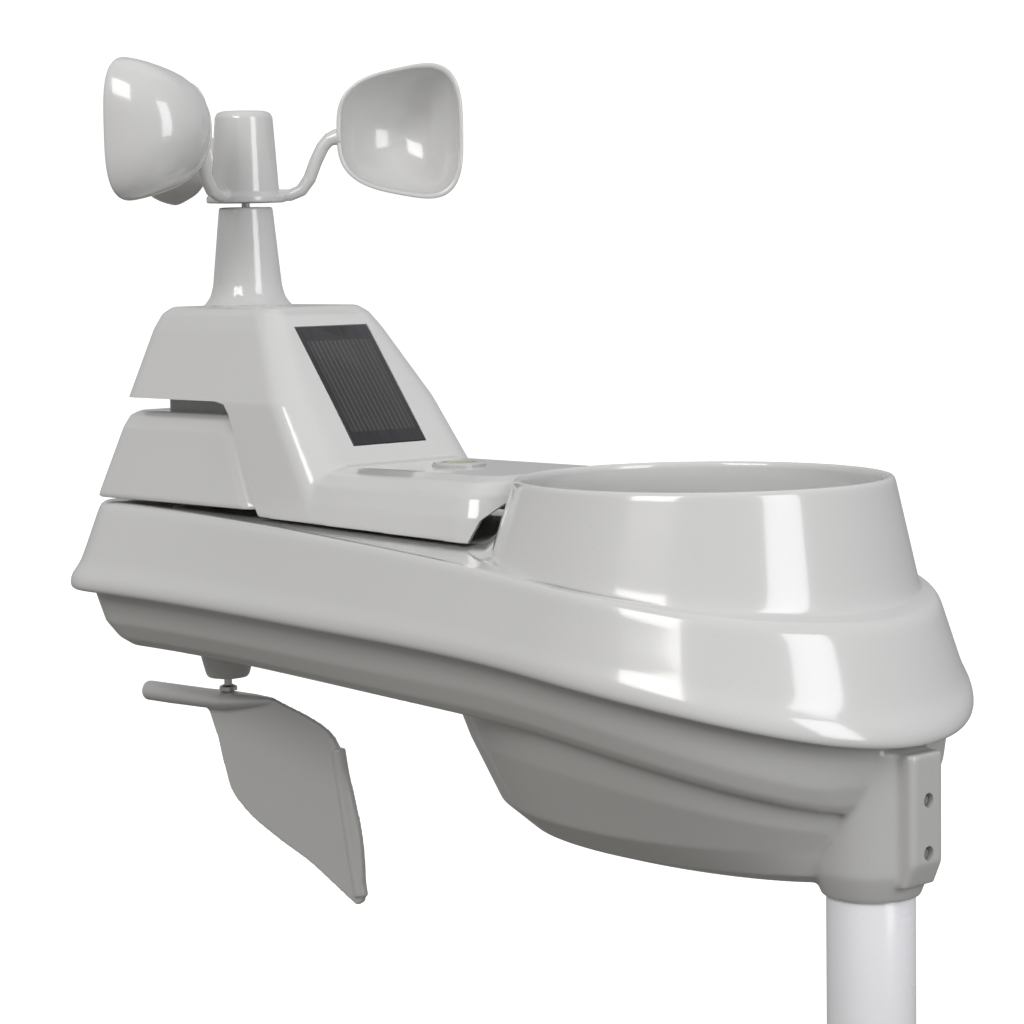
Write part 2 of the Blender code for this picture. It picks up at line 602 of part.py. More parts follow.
def wind_drive():
    axis = (TOWER_X, 0, CUP_Z)
    rod("anemometer_shaft", (TOWER_X, 0, 162.0), (TOWER_X, 0, 239.8), 1.5, "steel", 16, axis)
    a = radians(GRUB_AZIMUTH)
    rod("hub_grub_screw", (TOWER_X + (1.5 + GAP) * cos(a), (1.5 + GAP) * sin(a), GRUB_Z),
        (TOWER_X + 10.8 * cos(a), 10.8 * sin(a), GRUB_Z), 1.5, "steel", 10, axis)
    turned("rotor_magnet", [(1.5 + GAP, 162.4), (5.0, 162.4), (5.0, 165.6), (1.5 + GAP, 165.6)],
           TOWER_X, 0, "black", 20, True, axis)
    tube("upper_bush", 5.0, 1.5 + GAP, 200.0, 207.0, TOWER_X, 0, "brass", 20)
    tube("lower_bush", 5.0, 1.5 + GAP, 173.0, 180.0, TOWER_X, 0, "brass", 20)


# ---------------------------------------------------------------- wind vane

def vane_point(along, across, z):
    a = radians(VANE_AZIMUTH)
    return (VANE_X + along * cos(a) - across * sin(a), along * sin(a) + across * cos(a), z)


def softened(points, steps):
    """Closed outline through the points, with steps smooth spans between neighbours."""
    made = []
    for i, (x1, z1) in enumerate(points):
        x0, z0 = points[i - 1]
        x2, z2 = points[(i + 1) % len(points)]
        x3, z3 = points[(i + 2) % len(points)]
        for t in (k / steps for k in range(steps)):
            made.append(tuple(
                0.5 * (2 * b + (c - a) * t + (2 * a - 5 * b + 4 * c - d) * t * t
                       + (3 * b - a - 3 * c + d) * t ** 3)
                for a, b, c, d in ((x0, x1, x2, x3), (z0, z1, z2, z3))))
    return made


def wind_vane():
    """Nose bar, hub plate, flat fin hanging below and a thick rib along its trailing edge."""
    axis = (VANE_X, 0, 25.0)
    fin = [(-10, 25), (-9, 20), (-5.5, 12), (-2.5, 2), (1.2, -8), (6.5, -13.5), (13.5, -18.5),
           (26, -24.8), (40, -31), (52, -38), (61.5, -43.6), (64.0, -43.6), (65.8, -40),
           (65.0, -20), (58.5, 5), (53.5, 15), (48.5, 19.4), (40.0, 23.0), (30.0, 26.0),
           (21.0, 28.4), (10.0, 28.4)]
    fin = softened(fin, 2)
    half = 1.1
    sheet = loft("wind_vane", [[vane_point(u, -half, z) for u, z in fin],
                               [vane_point(u, half, z) for u, z in fin]], "tub", origin=axis)
    bar = ((-43.6, 2.2, 2.6, 25.9), (-42.2, 4.0, 3.8, 25.9), (-30.0, 4.8, 3.8, 25.7),
           (-12.0, 6.2, 3.6, 25.5), (0.0, 7.2, 3.4, 25.8), (12.0, 5.4, 2.4, 26.6),
           (23.0, 1.6, 1.2, 27.3))
    rings = []
    for u, wide, tall, z in bar:
        rings.append([vane_point(u, wide * cos(t), z + tall * sin(t) * (1.0 if sin(t) < 0 else 0.95))
                      for t in (2 * pi * k / 16 for k in range(16))])
    join(sheet, loft("vane_bar", rings, "tub", origin=axis))
    start, end = Vector(vane_point(54.6, 0, 12.5)), Vector(vane_point(64.2, 0, -41.0))
    rib = rod("vane_rib", start, end, 2.6, "tub", 12, axis)
    join(sheet, rib)
    cut(sheet, rod("vane_shaft_hole", (VANE_X, 0, 23.6), (VANE_X, 0, 40), 1.5 + GAP, "tub", 12, axis))
    return sheet


def vane_drive():
    axis = (VANE_X, 0, 25.0)
    rod("vane_shaft", (VANE_X, 0, 24.0), (VANE_X, 0, 72.0), 1.5, "steel", 16, axis)
    turned("vane_nut", [(1.5 + GAP, 29.6), (3.4, 29.6), (3.4, 31.0), (2.3, 31.6), (1.5 + GAP, 31.6)],
           VANE_X, 0, "steel", 12, True, axis)
    turned("vane_magnet", [(1.5 + GAP, 67.5), (5.5, 67.5), (5.5, 71.0), (1.5 + GAP, 71.0)],
           VANE_X, 0, "black", 20, True, axis)
    tube("vane_bush", 4.3, 1.5 + GAP, BOSS_BOTTOM - 0.4, 63.4, VANE_X, 0, "brass", 20)
    box("vane_sensor_board", (VANE_X - 12, -10, 76.0), (VANE_X + 12, 10, 77.6), "board")


# ---------------------------------------------------------------- rain gauge

def rain_funnel():
    """Dished insert with a drain spout, held by the cone's inner wall."""
    edge_r = 61.0
    turned("rain_funnel", [
        (edge_r, FUNNEL_EDGE_Z - 2.0), (edge_r, FUNNEL_EDGE_Z), (edge_r - 4, FUNNEL_EDGE_Z - 1.0),
        (SPOUT_R + 3, FUNNEL_SPOUT_Z + 11), (SPOUT_R, FUNNEL_SPOUT_Z + 8), (SPOUT_R, FUNNEL_SPOUT_Z),
        (SPOUT_R + 1.6, FUNNEL_SPOUT_Z), (SPOUT_R + 1.6, FUNNEL_SPOUT_Z + 6),
        (edge_r - 4, FUNNEL_EDGE_Z - 3.6)], FUNNEL_X, 0, "tub", 40, True)
    screen = turned("debris_screen", [(11.0, FUNNEL_SPOUT_Z + 14.6), (11.0, FUNNEL_SPOUT_Z + 20),
                                      (9.0, FUNNEL_SPOUT_Z + 22), (7.4, FUNNEL_SPOUT_Z + 20.4),
                                      (9.4, FUNNEL_SPOUT_Z + 18.6), (9.4, FUNNEL_SPOUT_Z + 14.6)],
                    FUNNEL_X, 0, "tub", 18, True)
    for i in range(3):
        a = pi / 3 * i
        bar = rod(f"screen_bar_{i}", (FUNNEL_X - 8.6 * cos(a), -8.6 * sin(a), FUNNEL_SPOUT_Z + 20.8),
                  (FUNNEL_X + 8.6 * cos(a), 8.6 * sin(a), FUNNEL_SPOUT_Z + 20.8), 0.9, "tub", 8)
        join(screen, bar)


def tipping_bucket():
    """Two wedge chambers back to back on the axle, drawn tilted onto the left stop."""
    half = 12.0
    floor, wall = 33.2, 1.2
    outer = [(-27, 40.5), (0, floor), (27, 40.5), (27, 43.0), (0.8, 54.5), (-0.8, 54.5), (-27, 43.0)]
    body = prism("tipping_bucket", outer, -half, half)
    for i, side in enumerate((-1, 1)):
        chamber = [(side * 0.8, floor + 1.6), (side * 40, floor + 1.6 + 40 * 7.3 / 27),
                   (side * 40, 70), (side * 0.8, 70)]
        if side > 0:
            chamber = list(reversed(chamber))
        cut(body, prism(f"chamber_{i}", chamber, -half + wall, half - wall))
    hub = rod("bucket_hub", (0, -half, AXLE[2]), (0, half, AXLE[2]), 3.6, "tub", 16)
    place_bucket(hub)
    join(body, hub)
    bore = rod("bucket_bore", (0, -20, AXLE[2]), (0, 20, AXLE[2]), 1.0 + GAP, "tub", 12)
    place_bucket(bore)
    cut(body, bore)
    magnet = box("bucket_magnet", (-3, half + GAP, 36.0), (3, half + 2.6, 42.0), "black")
    place_bucket(magnet)
    pivot_pin = rod("bucket_axle", (AXLE[0], -19, AXLE[2]), (AXLE[0], 19, AXLE[2]), 1.0, "steel", 12)
    return body, magnet, pivot_pin


def prism(name, outline_xz, y0, y1):
    """Extrudes an x, z outline along Y and hands it to the tilted bucket frame."""
    rings = [[(x, y, z) for x, z in outline_xz] for y in (y0, y1)]
    item = loft(name, rings, "tub")
    place_bucket(item)
    return item


def place_bucket(item):
    """Moves a mesh drawn about x = 0 so that its origin is the axle, tilted to its rest stop."""
    item.data.transform(Matrix.Translation((0, 0, -AXLE[2] * MM)))
    item.location = [AXLE[0] * MM, AXLE[1] * MM, (AXLE[2] + HEAD) * MM]
    item.rotation_euler = (0.0, radians(-TILT), 0.0)


def bucket_cradle():
    """Base plate on the bowl's floor with an ear on each side for the axle."""
    x, _, z = AXLE
    cradle = box("bucket_cradle", (x - 30, -20, 7.0), (x + 30, 20, 9.0), "tub")
    for i, side in enumerate((-1, 1)):
        y0, y1 = sorted((side * 15.6, side * 18.2))
        join(cradle, box(f"cradle_ear_{i}", (x - 7, y0, 8.0), (x + 7, y1, z + 5), "tub"))
    cut(cradle, rod("cradle_bore", (x, -30, z), (x, 30, z), 1.0 + GAP, "tub", 12))
    for i, side in enumerate((-1, 1)):
        cut(cradle, rod(f"stop_bore_{i}", (x + side * 22, 0, 0), (x + side * 22, 0, 20), 2.0 + GAP,
                        "tub", 12))
        turned(f"bucket_stop_{i + 1}", [(2.0, 6.0), (2.0, STOP_TOP - 1), (1.2, STOP_TOP)],
               x + side * 22, 0, "steel", 12)
    box("rain_reed_switch", (x - 9, 21.0, z + 5.0), (x + 9, 25.0, z + 10), "black")
    return cradle


# ---------------------------------------------------------------- electronics and batteries

def battery_bay():
    x0, x1 = DOOR_X0, DOOR_X1
    tray_low, tray_high = 52.6, 70.0
    tray = box("battery_tray", (x0 - 2, -DOOR_HALF - 1, tray_low), (x1 + 2, DOOR_HALF + 1, tray_high),
               "tub")
    cut(tray, box("tray_room", (x0 + 0.5, -DOOR_HALF + 2, 40), (x1 - 0.5, DOOR_HALF - 2, 68.2), "tub"))
    pitch = (x1 - x0 - 3.0) / 4
    for i in range(4):
        x = x0 + 1.5 + pitch * (i + 0.5)
        up = 1 if i % 2 else -1
        battery(f"battery_{i + 1}", x, 60.4, up)
    for i, side in enumerate((-1, 1)):
        y0, y1 = sorted((side * 25.6, side * 26.6))
        box(f"battery_contact_{i + 1}", (x0 + 3, y0, 55.0), (x1 - 3, y1, 66.0), "steel")
    door_origin = (DOOR_X1 - 1.5, 0.0, TUB_FLOOR + 0.9)
    door = box("battery_door", (x0 + GAP, -DOOR_HALF + GAP, TUB_FLOOR - 0.1),
               (x1 - 2 * GAP, DOOR_HALF - GAP, TUB_FLOOR + 1.9), "tub", 0.0, door_origin)
    join(door, box("door_latch", (x0 + 3, -6, TUB_FLOOR - 1.2), (x0 + 8, 6, TUB_FLOOR + 1), "tub"))
    frame = box("battery_door_seal", (x0 + 2, -DOOR_HALF + 2.2, TUB_FLOOR + 2.2),
                (x1 - 4, DOOR_HALF - 2.2, TUB_FLOOR + 3.4), "rubber", 0.0, door_origin)
    cut(frame, box("seal_room", (x0 + 4, -DOOR_HALF + 4.2, 40), (x1 - 6, DOOR_HALF - 4.2, 60), "rubber"))


def battery(name, x, z, way):
    """AA cell along Y with its raised terminal at way."""
    rings = []
    for y, r in ((-way * CELL_LENGTH / 2, CELL_R - 0.6), (-way * (CELL_LENGTH / 2 - 0.6), CELL_R),
                 (way * (CELL_LENGTH / 2 - 1.6), CELL_R), (way * (CELL_LENGTH / 2 - 1.0), CELL_R - 1),
                 (way * (CELL_LENGTH / 2 - 1.0), 2.7), (way * CELL_LENGTH / 2, 2.7)):
        rings.append([(x + r * cos(t), y, z + r * sin(t)) for t in
                      (2 * pi * i / 16 for i in range(16))])
    return loft(name, rings, "battery")


def electronics():
    box("main_board", (-205, -40, 82.0), (-150, 40, 83.6), "board")
    box("radio_module", (-196, -14, 84.0), (-172, 10, 87.0), "steel", 0.5)
    box("climate_sensor", (-296, -8, 107.0), (-284, 8, 113.0), "board", 0.6)
    box("wind_reed_switch", (TOWER_X - 12, 9.0, 161.0), (TOWER_X + 12, 12.0, 164.5), "black", 0.4)


def fan():
    z0, z1 = 136.0, 146.0
    frame = box("fan_frame", (TOWER_X - 19.5, -19.5, z0), (TOWER_X + 19.5, 19.5, z1), "black", 2.2)
    cut(frame, rod("fan_bore", (TOWER_X, 0, z0 - 5), (TOWER_X, 0, z1 + 5), 18.4, "black", 32))
    spider = box("fan_spider", (TOWER_X - 18.9, -2.5, z0 + 0.2), (TOWER_X + 18.9, 2.5, z0 + 1.8), "black")
    join(frame, spider)
    axis = (TOWER_X, 0, z0)
    rotor = turned("fan_rotor", [(0.5, z0 + 2.2), (6.8, z0 + 2.2), (7.2, z0 + 2.8), (7.2, z1 - 1.2),
                                 (6.6, z1 - 0.6), (0.5, z1 - 0.6)], TOWER_X, 0, "black", 24, False, axis)
    for i in range(5):
        join(rotor, fan_blade(f"fan_blade_{i}", 2 * pi * i / 5, z0 + 6.0, axis))
    return rotor


def fan_blade(name, turn, z, axis):
    """Twisted blade from inside the hub to just short of the frame's bore."""
    rings = []
    for r, pitch in ((6.0, 48), (12.0, 38), (17.6, 30)):
        p, chord, thick = radians(pitch), 4.4 if r < 7 else 4.8, 0.5
        ring = []
        for across, up in ((-chord, -thick), (chord, -thick), (chord, thick), (-chord, thick)):
            t = across * cos(p) - up * sin(p)
            h = (across * sin(p) + up * cos(p)) * 0.72
            ring.append((TOWER_X + r * cos(turn) - t * sin(turn), r * sin(turn) + t * cos(turn), z + h))
        rings.append(ring)
    return loft(name, rings, "black", origin=axis)


clear_scene()
pole_and_foot()
upper_shell()
lower_housing()
fasteners()
shield_roof()
roof_fittings()
louver_ring()
shield_core()
cup_hub()
for number, cup_azimuth in enumerate(CUP_AZIMUTHS):
    cup(f"wind_cup_{number + 1}", cup_azimuth)
wind_drive()
wind_vane()
vane_drive()
rain_funnel()
tipping_bucket()
bucket_cradle()
battery_bay()
electronics()
fan()
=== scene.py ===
"""Looks for the outdoor weather sensor: smooth shells with real fillets, procedural plastics, metals
and a solar cell, pale studio.

Shapes are drawn in the head's own millimetres (z from the socket's lower lip, HEAD above the foot)
and turned into metres when an object is made, so they match the CAD pieces that they replace.
"""

import json
from math import atan2, cos, pi, radians, sin

import bmesh
import bpy
from mathutils import Matrix, Vector

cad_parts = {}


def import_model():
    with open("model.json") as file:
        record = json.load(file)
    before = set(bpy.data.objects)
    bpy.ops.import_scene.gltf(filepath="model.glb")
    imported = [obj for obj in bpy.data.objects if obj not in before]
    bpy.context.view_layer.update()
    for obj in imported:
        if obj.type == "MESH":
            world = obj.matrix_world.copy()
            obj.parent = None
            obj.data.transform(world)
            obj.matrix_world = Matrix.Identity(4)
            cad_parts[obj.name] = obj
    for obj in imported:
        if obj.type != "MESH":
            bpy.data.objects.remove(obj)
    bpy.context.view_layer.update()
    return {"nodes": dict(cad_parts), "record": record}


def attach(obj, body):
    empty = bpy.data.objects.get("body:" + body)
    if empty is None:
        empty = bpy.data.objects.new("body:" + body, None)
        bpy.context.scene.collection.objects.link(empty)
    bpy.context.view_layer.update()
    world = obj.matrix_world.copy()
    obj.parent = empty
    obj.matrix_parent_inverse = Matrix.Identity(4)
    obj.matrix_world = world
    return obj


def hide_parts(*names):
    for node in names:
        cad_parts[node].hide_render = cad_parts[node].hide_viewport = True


MM = 0.001
HEAD = 150.0
GAP = 0.3
WALL = 2.4

POLE_R, POLE_BORE_R, POLE_TOP = 13.35, 10.45, 52.0
FOOT_R, COLLAR_R, COLLAR_TOP = 45.0, 18.5, 40.0
FOOT_HOLE_PCD_R, FOOT_HOLE_R = 34.0, 2.6
SOCKET_R, SOCKET_PAD_X, SOCKET_PAD_HALF = 17.6, 21.6, 7.5
SOCKET_SCREW_Z = (31.0, 15.2)
SCREW_POSTS = [(-325.0, 0.0), (-262.0, 30.0), (-262.0, -30.0)]

# Body outlines: pole end, half width at the funnel, vane end, half width there, corner radius
FUNNEL_X = -65.8
FLANGE = (21.5, 75.5, -349.5, 52.0, 24.0)
SHOULDER = (10.5, 70.0, -340.5, 42.0, 18.0)
TUB = (15.5, 69.0, -344.0, 46.0, 20.0)
TUB_FOOT = (9.0, 62.0, -333.0, 35.0, 16.0)
TUB_FLOOR = 49.0

RIM_Z, RIM_R, CONE_BASE_R = 122.2, 59.4, 67.2
NOTCH_PROFILE = [(CONE_BASE_R + 12.0, 85.0), (CONE_BASE_R + 9.5, 100.0), (CONE_BASE_R + 5.6, 107.0),
                 (RIM_R + 4.6, 114.0), (RIM_R + 3.6, 124.0)]   # room for the cone beside the deck
FUNNEL_EDGE_Z, FUNNEL_SPOUT_Z, SPOUT_R = 96.0, 66.0, 4.0

TOWER_X, NECK_R, NECK_TOP = -289.5, 9.8, 209.8
HUB_BOTTOM, HUB_TOP = 211.4, 244.6
CUP_ARM_R, CUP_Z, CUP_HALF, CUP_DEPTH = 57.0, 236.4, 23.2, 23.5
CUP_SETBACK = 10.0
CUP_TAPER = 0.2         # the mouth grows taller away from the hub
CUP_AZIMUTHS = (46.0, 166.0, 286.0)
VANE_X, VANE_AZIMUTH, BOSS_BOTTOM = -307.0, 8.0, 34.6

DOOR_X0, DOOR_X1, DOOR_HALF = -226.0, -160.0, 29.0
PANEL_TILT = atan2(64.5, 49.0)
PANEL_LENGTH, PANEL_HALF = 50.5, 16.7
PANEL_MID = (-227.8, 0.0, 146.6)
LEVEL_X = -177.5
CORE = (-312.5, -266.5, 22.0)

SKY = 0.72              # strength of the studio's sky light
SKY_LOW, SKY_HIGH = (0.3, (0.21, 0.2, 0.185, 1)), (0.6, (0.66, 0.66, 0.67, 1))
BACKDROP_GLOW = 0.85    # lifts the sweep that the camera sees to white
SWEEP_R, SWEEP_BEND, SWEEP_STEPS = 7.0, 2.0, 96
AIM = (-0.16, 0.0, 0.26)

CAMERA_AZIMUTH, CAMERA_PITCH, CAMERA_ROLL, CAMERA_LENS = 46.0, 0.095, -0.016, 98.44
CAMERA_BACK, CAMERA_LEFT, CAMERA_UP = 0.837, 0.1073, 0.1139

FINE = 0.7              # remesh grid of the moulded shells
FILLET = 9              # smoothing passes, which set the shells' fillet radius


# ---------------------------------------------------------------- mesh builders

def as_object(name, mesh):
    item = bpy.data.objects.new(name, mesh)
    bpy.context.scene.collection.objects.link(item)
    return item


def loft(name, rings, wrap=False):
    """Skins equal rings of points in head millimetres; wrap joins the last ring to the first."""
    count = len(rings[0])
    points = [p for ring in rings for p in ring]
    faces = []
    for r in range(len(rings) if wrap else len(rings) - 1):
        a, b = r * count, (r + 1) % len(rings) * count
        for i in range(count):
            j = (i + 1) % count
            faces.append((a + i, a + j, b + j, b + i))
    if not wrap:
        for start, ring in ((0, rings[0]), ((len(rings) - 1) * count, rings[-1])):
            points.append(tuple(sum((Vector(p) for p in ring), Vector()) / count))
            hub = len(points) - 1
            faces += [(start + i, start + (i + 1) % count, hub) for i in range(count)]
    mesh = bpy.data.meshes.new(name)
    mesh.from_pydata([(x * MM, y * MM, (z + HEAD) * MM) for x, y, z in points], [], faces)
    tidy = bmesh.new()
    tidy.from_mesh(mesh)
    bmesh.ops.remove_doubles(tidy, verts=tidy.verts, dist=1e-6)
    bmesh.ops.recalc_face_normals(tidy, faces=tidy.faces)
    tidy.to_mesh(mesh)
    tidy.free()
    mesh.shade_smooth()
    return as_object(name, mesh)


def turned(name, profile, x=0.0, y=0.0, steps=96, wrap=False):
    rings = [[(x + r * cos(a), y + r * sin(a), z) for a in (2 * pi * i / steps for i in range(steps))]
             for r, z in profile]
    return loft(name, rings, wrap)


def rod(name, start, end, radius, steps=32):
    a, b = Vector(start), Vector(end)
    along = (b - a).normalized()
    side = along.orthogonal().normalized()
    other = along.cross(side)
    return loft(name, [[tuple(c + radius * (cos(t) * side + sin(t) * other))
                        for t in (2 * pi * i / steps for i in range(steps))] for c in (a, b)])


def box(name, low, high):
    x0, y0, z0 = low
    x1, y1, z1 = high
    return loft(name, [[(x0, y0, z), (x1, y0, z), (x1, y1, z), (x0, y1, z)] for z in (z0, z1)])


def rounded(x0, x1, half, corner, z, steps=14):
    """A rectangle with round corners in plan: x0..x1 by -half..half."""
    points = []
    for cx, cy, start in ((x1, half, 0), (x0, half, 90), (x0, -half, 180), (x1, -half, 270)):
        px = cx - corner if cx == x1 else cx + corner
        py = cy - corner if cy > 0 else cy + corner
        for i in range(steps + 1):
            a = radians(start + 90 * i / steps)
            points.append((px + corner * cos(a), py + corner * sin(a), z))
    return points


def baked(item):
    """Applies the object's modifiers to its mesh."""
    graph = bpy.context.evaluated_depsgraph_get()
    mesh = bpy.data.meshes.new_from_object(item.evaluated_get(graph))
    item.modifiers.clear()
    item.data = mesh
    mesh.shade_smooth()
    return item


def fused(name, solids, grid=FINE, passes=FILLET):
    """Melts overlapping solids into one skin on an even grid and rounds its creases and edges."""
    merged = bmesh.new()
    for solid in solids:
        merged.from_mesh(solid.data)
        bpy.data.objects.remove(solid, do_unlink=True)
    mesh = bpy.data.meshes.new(name)
    merged.to_mesh(mesh)
    merged.free()
    item = as_object(name, mesh)
    skin = item.modifiers.new("skin", "REMESH")
    skin.mode = "VOXEL"
    skin.voxel_size = grid * MM
    skin.use_smooth_shade = True
    soften = item.modifiers.new("soften", "SMOOTH")
    soften.factor = 0.5
    soften.iterations = passes
    return baked(item)


def carved(item, cutters):
    for cutter in cutters:
        step = item.modifiers.new(cutter.name, "BOOLEAN")
        step.operation = "DIFFERENCE"
        step.solver = "MANIFOLD"
        step.object = cutter
    baked(item)
    for cutter in cutters:
        bpy.data.objects.remove(cutter, do_unlink=True)
    item.data.set_sharp_from_angle(angle=radians(35))
    return item


def rounded_edges(item, width, segments=3):
    """Small true fillets on the sharp edges of a plain solid."""
    bevel = item.modifiers.new("edges", "BEVEL")
    bevel.width = width * MM
    bevel.segments = segments
    bevel.limit_method = "ANGLE"
    bevel.angle_limit = radians(30)
    baked(item)
    item.data.set_sharp_from_angle(angle=radians(50))
    return item


def subdivided(item, levels=1):
    smooth = item.modifiers.new("smooth", "SUBSURF")
    smooth.levels = smooth.render_levels = levels
    return baked(item)


# ---------------------------------------------------------------- the body's lines

def ease(t):
    t = min(1.0, max(0.0, t))
    return t * t * (3 - 2 * t)


def flange_z(x):
    return 70.0 - 23.5 * max(0.0, (x + 170.0) / 191.0) ** 3


def shoulder_z(x):
    return 103.0 - 0.02 * (x + 330.0) - 14.3 * max(0.0, (x + 165.0) / 180.0) ** 2


def plate_z(x):
    return shoulder_z(x) + 0.2 + 0.8 * ease((x + 125.0) / 60.0)


def tub_foot_z(x):
    return TUB_FLOOR - 22.0 * min(1.0, max(0.0, (x + 130.0) / 135.0)) ** 2.5


def outline(shape, inset=0.0, arc=36, side=40, corner=12):
    """Plan outline, anticlockwise from the pole end: half ellipse, flared sides, round corners."""
    end, wide, far, narrow, radius = shape
    end, wide, far, narrow = end - inset, wide - inset, far + inset, narrow - inset
    radius = max(2.0, radius - inset)
    reach = end - FUNNEL_X
    half = [(FUNNEL_X + reach * cos(a), wide * sin(a))
            for a in (pi / 2 * i / arc for i in range(arc + 1))]
    side_end = far + radius
    for i in range(1, side + 1):
        x = FUNNEL_X + (side_end - FUNNEL_X) * i / side
        flare = ease((x - side_end) / (FUNNEL_X - side_end))
        half.append((x, narrow + (wide - narrow) * flare))
    for i in range(1, corner + 1):
        a = pi / 2 + pi / 2 * i / corner
        half.append((side_end + radius * cos(a), narrow - radius + radius * sin(a)))
    half.append((far, (narrow - radius) / 2))
    mirrored = [(x, -y) for x, y in reversed(half[1:])]
    return half + [(far, 0.0)] + mirrored


def between(shape_a, shape_b, t):
    return tuple(a + (b - a) * t for a, b in zip(shape_a, shape_b))


def lifted(points, height):
    return [(x, y, height(x)) for x, y in points]


def matched_circle(radius, count, height):
    """Circle about the funnel axis with as many points as a body outline, same start and turn."""
    return [(FUNNEL_X + radius * cos(a), radius * sin(a), height(FUNNEL_X + radius * cos(a)))
            for a in (2 * pi * i / count for i in range(count))]


def blend_rings(a, b, fractions):
    return [[tuple(p + (q - p) * t for p, q in zip(u, v)) for u, v in zip(a, b)]
            for t in fractions]


# ---------------------------------------------------------------- moulded shells

def upper_shell():
    def skirt(t, inset, height):
        return lifted(outline(between(FLANGE, SHOULDER, t), inset), height)

    def under_z(x):
        return plate_z(x) - WALL

    count = len(outline(FLANGE))
    base = matched_circle(CONE_BASE_R, count, plate_z)
    foot = matched_circle(CONE_BASE_R - 0.8, count, lambda x: plate_z(x) + 2.2)
    inner_base = matched_circle(CONE_BASE_R - WALL, count, under_z)
    plate_edge = skirt(1.28, 0.0, shoulder_z)
    under_edge = skirt(1.28, WALL, under_z)
    rings = [
        skirt(0.0, 4.5, flange_z),
        skirt(0.0, 3.9, lambda x: flange_z(x) - 0.1),
        skirt(0.0, 1.0, lambda x: flange_z(x) + 0.3),
        skirt(0.0, 0.2, lambda x: flange_z(x) + 1.4),
        skirt(0.0, 0.0, lambda x: flange_z(x) + 3.0),
        skirt(0.06, 0.0, lambda x: flange_z(x) + 6.0),
        skirt(0.3, 0.0, lambda x: flange_z(x) + 9.0),
        skirt(0.45, 0.0, lambda x: flange_z(x) + 12.5),
        skirt(0.72, 0.0, lambda x: (flange_z(x) + shoulder_z(x)) / 2 + 4.0),
        skirt(1.0, 0.0, lambda x: shoulder_z(x) - 4.0),
        skirt(1.1, 0.0, lambda x: shoulder_z(x) - 1.5),
        plate_edge,
        *blend_rings(plate_edge, base, (0.12, 0.35, 0.7, 0.93)),
        base, foot,
        *blend_rings(foot, matched_circle(RIM_R + 0.4, count, lambda x: RIM_Z - 3.0), (0.12, 0.5, 0.9)),
        matched_circle(RIM_R + 0.4, count, lambda x: RIM_Z - 3.0),
        matched_circle(RIM_R - 0.1, count, lambda x: RIM_Z - 0.7),
        matched_circle(RIM_R - 1.3, count, lambda x: RIM_Z),
        matched_circle(RIM_R - 2.4, count, lambda x: RIM_Z - 0.7),
        matched_circle(RIM_R - 2.6, count, lambda x: RIM_Z - 3.0),
        inner_base,
        *blend_rings(inner_base, under_edge, (0.3, 0.65)),
        under_edge,
        skirt(1.0, WALL, lambda x: shoulder_z(x) - 5.0),
        skirt(0.45, WALL, lambda x: flange_z(x) + 12.5),
        skirt(0.3, WALL, lambda x: flange_z(x) + 8.0),
    ]
    return subdivided(loft("shell_skin", rings, True))


def bowl_ring(left, right, half, height, count):
    points = []
    for i in range(count):
        a = 2 * pi * i / count
        reach = right - FUNNEL_X if cos(a) > 0 else FUNNEL_X - left
        x = FUNNEL_X + reach * cos(a)
        points.append((x, half * sin(a), height(x)))
    return points


def tub_solid(name, inset, top_z, floor):
    count = len(outline(TUB))

    def edge(x):
        return tub_foot_z(x) + floor

    return loft(name, [
        lifted(outline(TUB, inset), top_z),
        lifted(outline(between(TUB, TUB_FOOT, 0.45), inset), lambda x: tub_foot_z(x) + 9.0),
        lifted(outline(between(TUB, TUB_FOOT, 0.8), inset),
               lambda x: tub_foot_z(x) + 3.0 + floor * 0.6),
        lifted(outline(between(TUB, TUB_FOOT, 1.15), inset), edge),
        bowl_ring(-164 + inset, 6 - inset, 57.5 - inset, edge, count),
        bowl_ring(-158 + inset, 4 - inset, 53 - inset, lambda x: tub_foot_z(x) * 0.72 + floor, count),
        bowl_ring(-147 + inset, 2 - inset, 44 - inset, lambda x: 15 + floor * 0.8, count),
        bowl_ring(-134 + inset, 0 - inset, 35 - inset, lambda x: 6.5 + floor * 0.9, count),
        bowl_ring(-121 + inset, -6 - inset, 24 - inset, lambda x: 3.0 + floor, count),
    ])


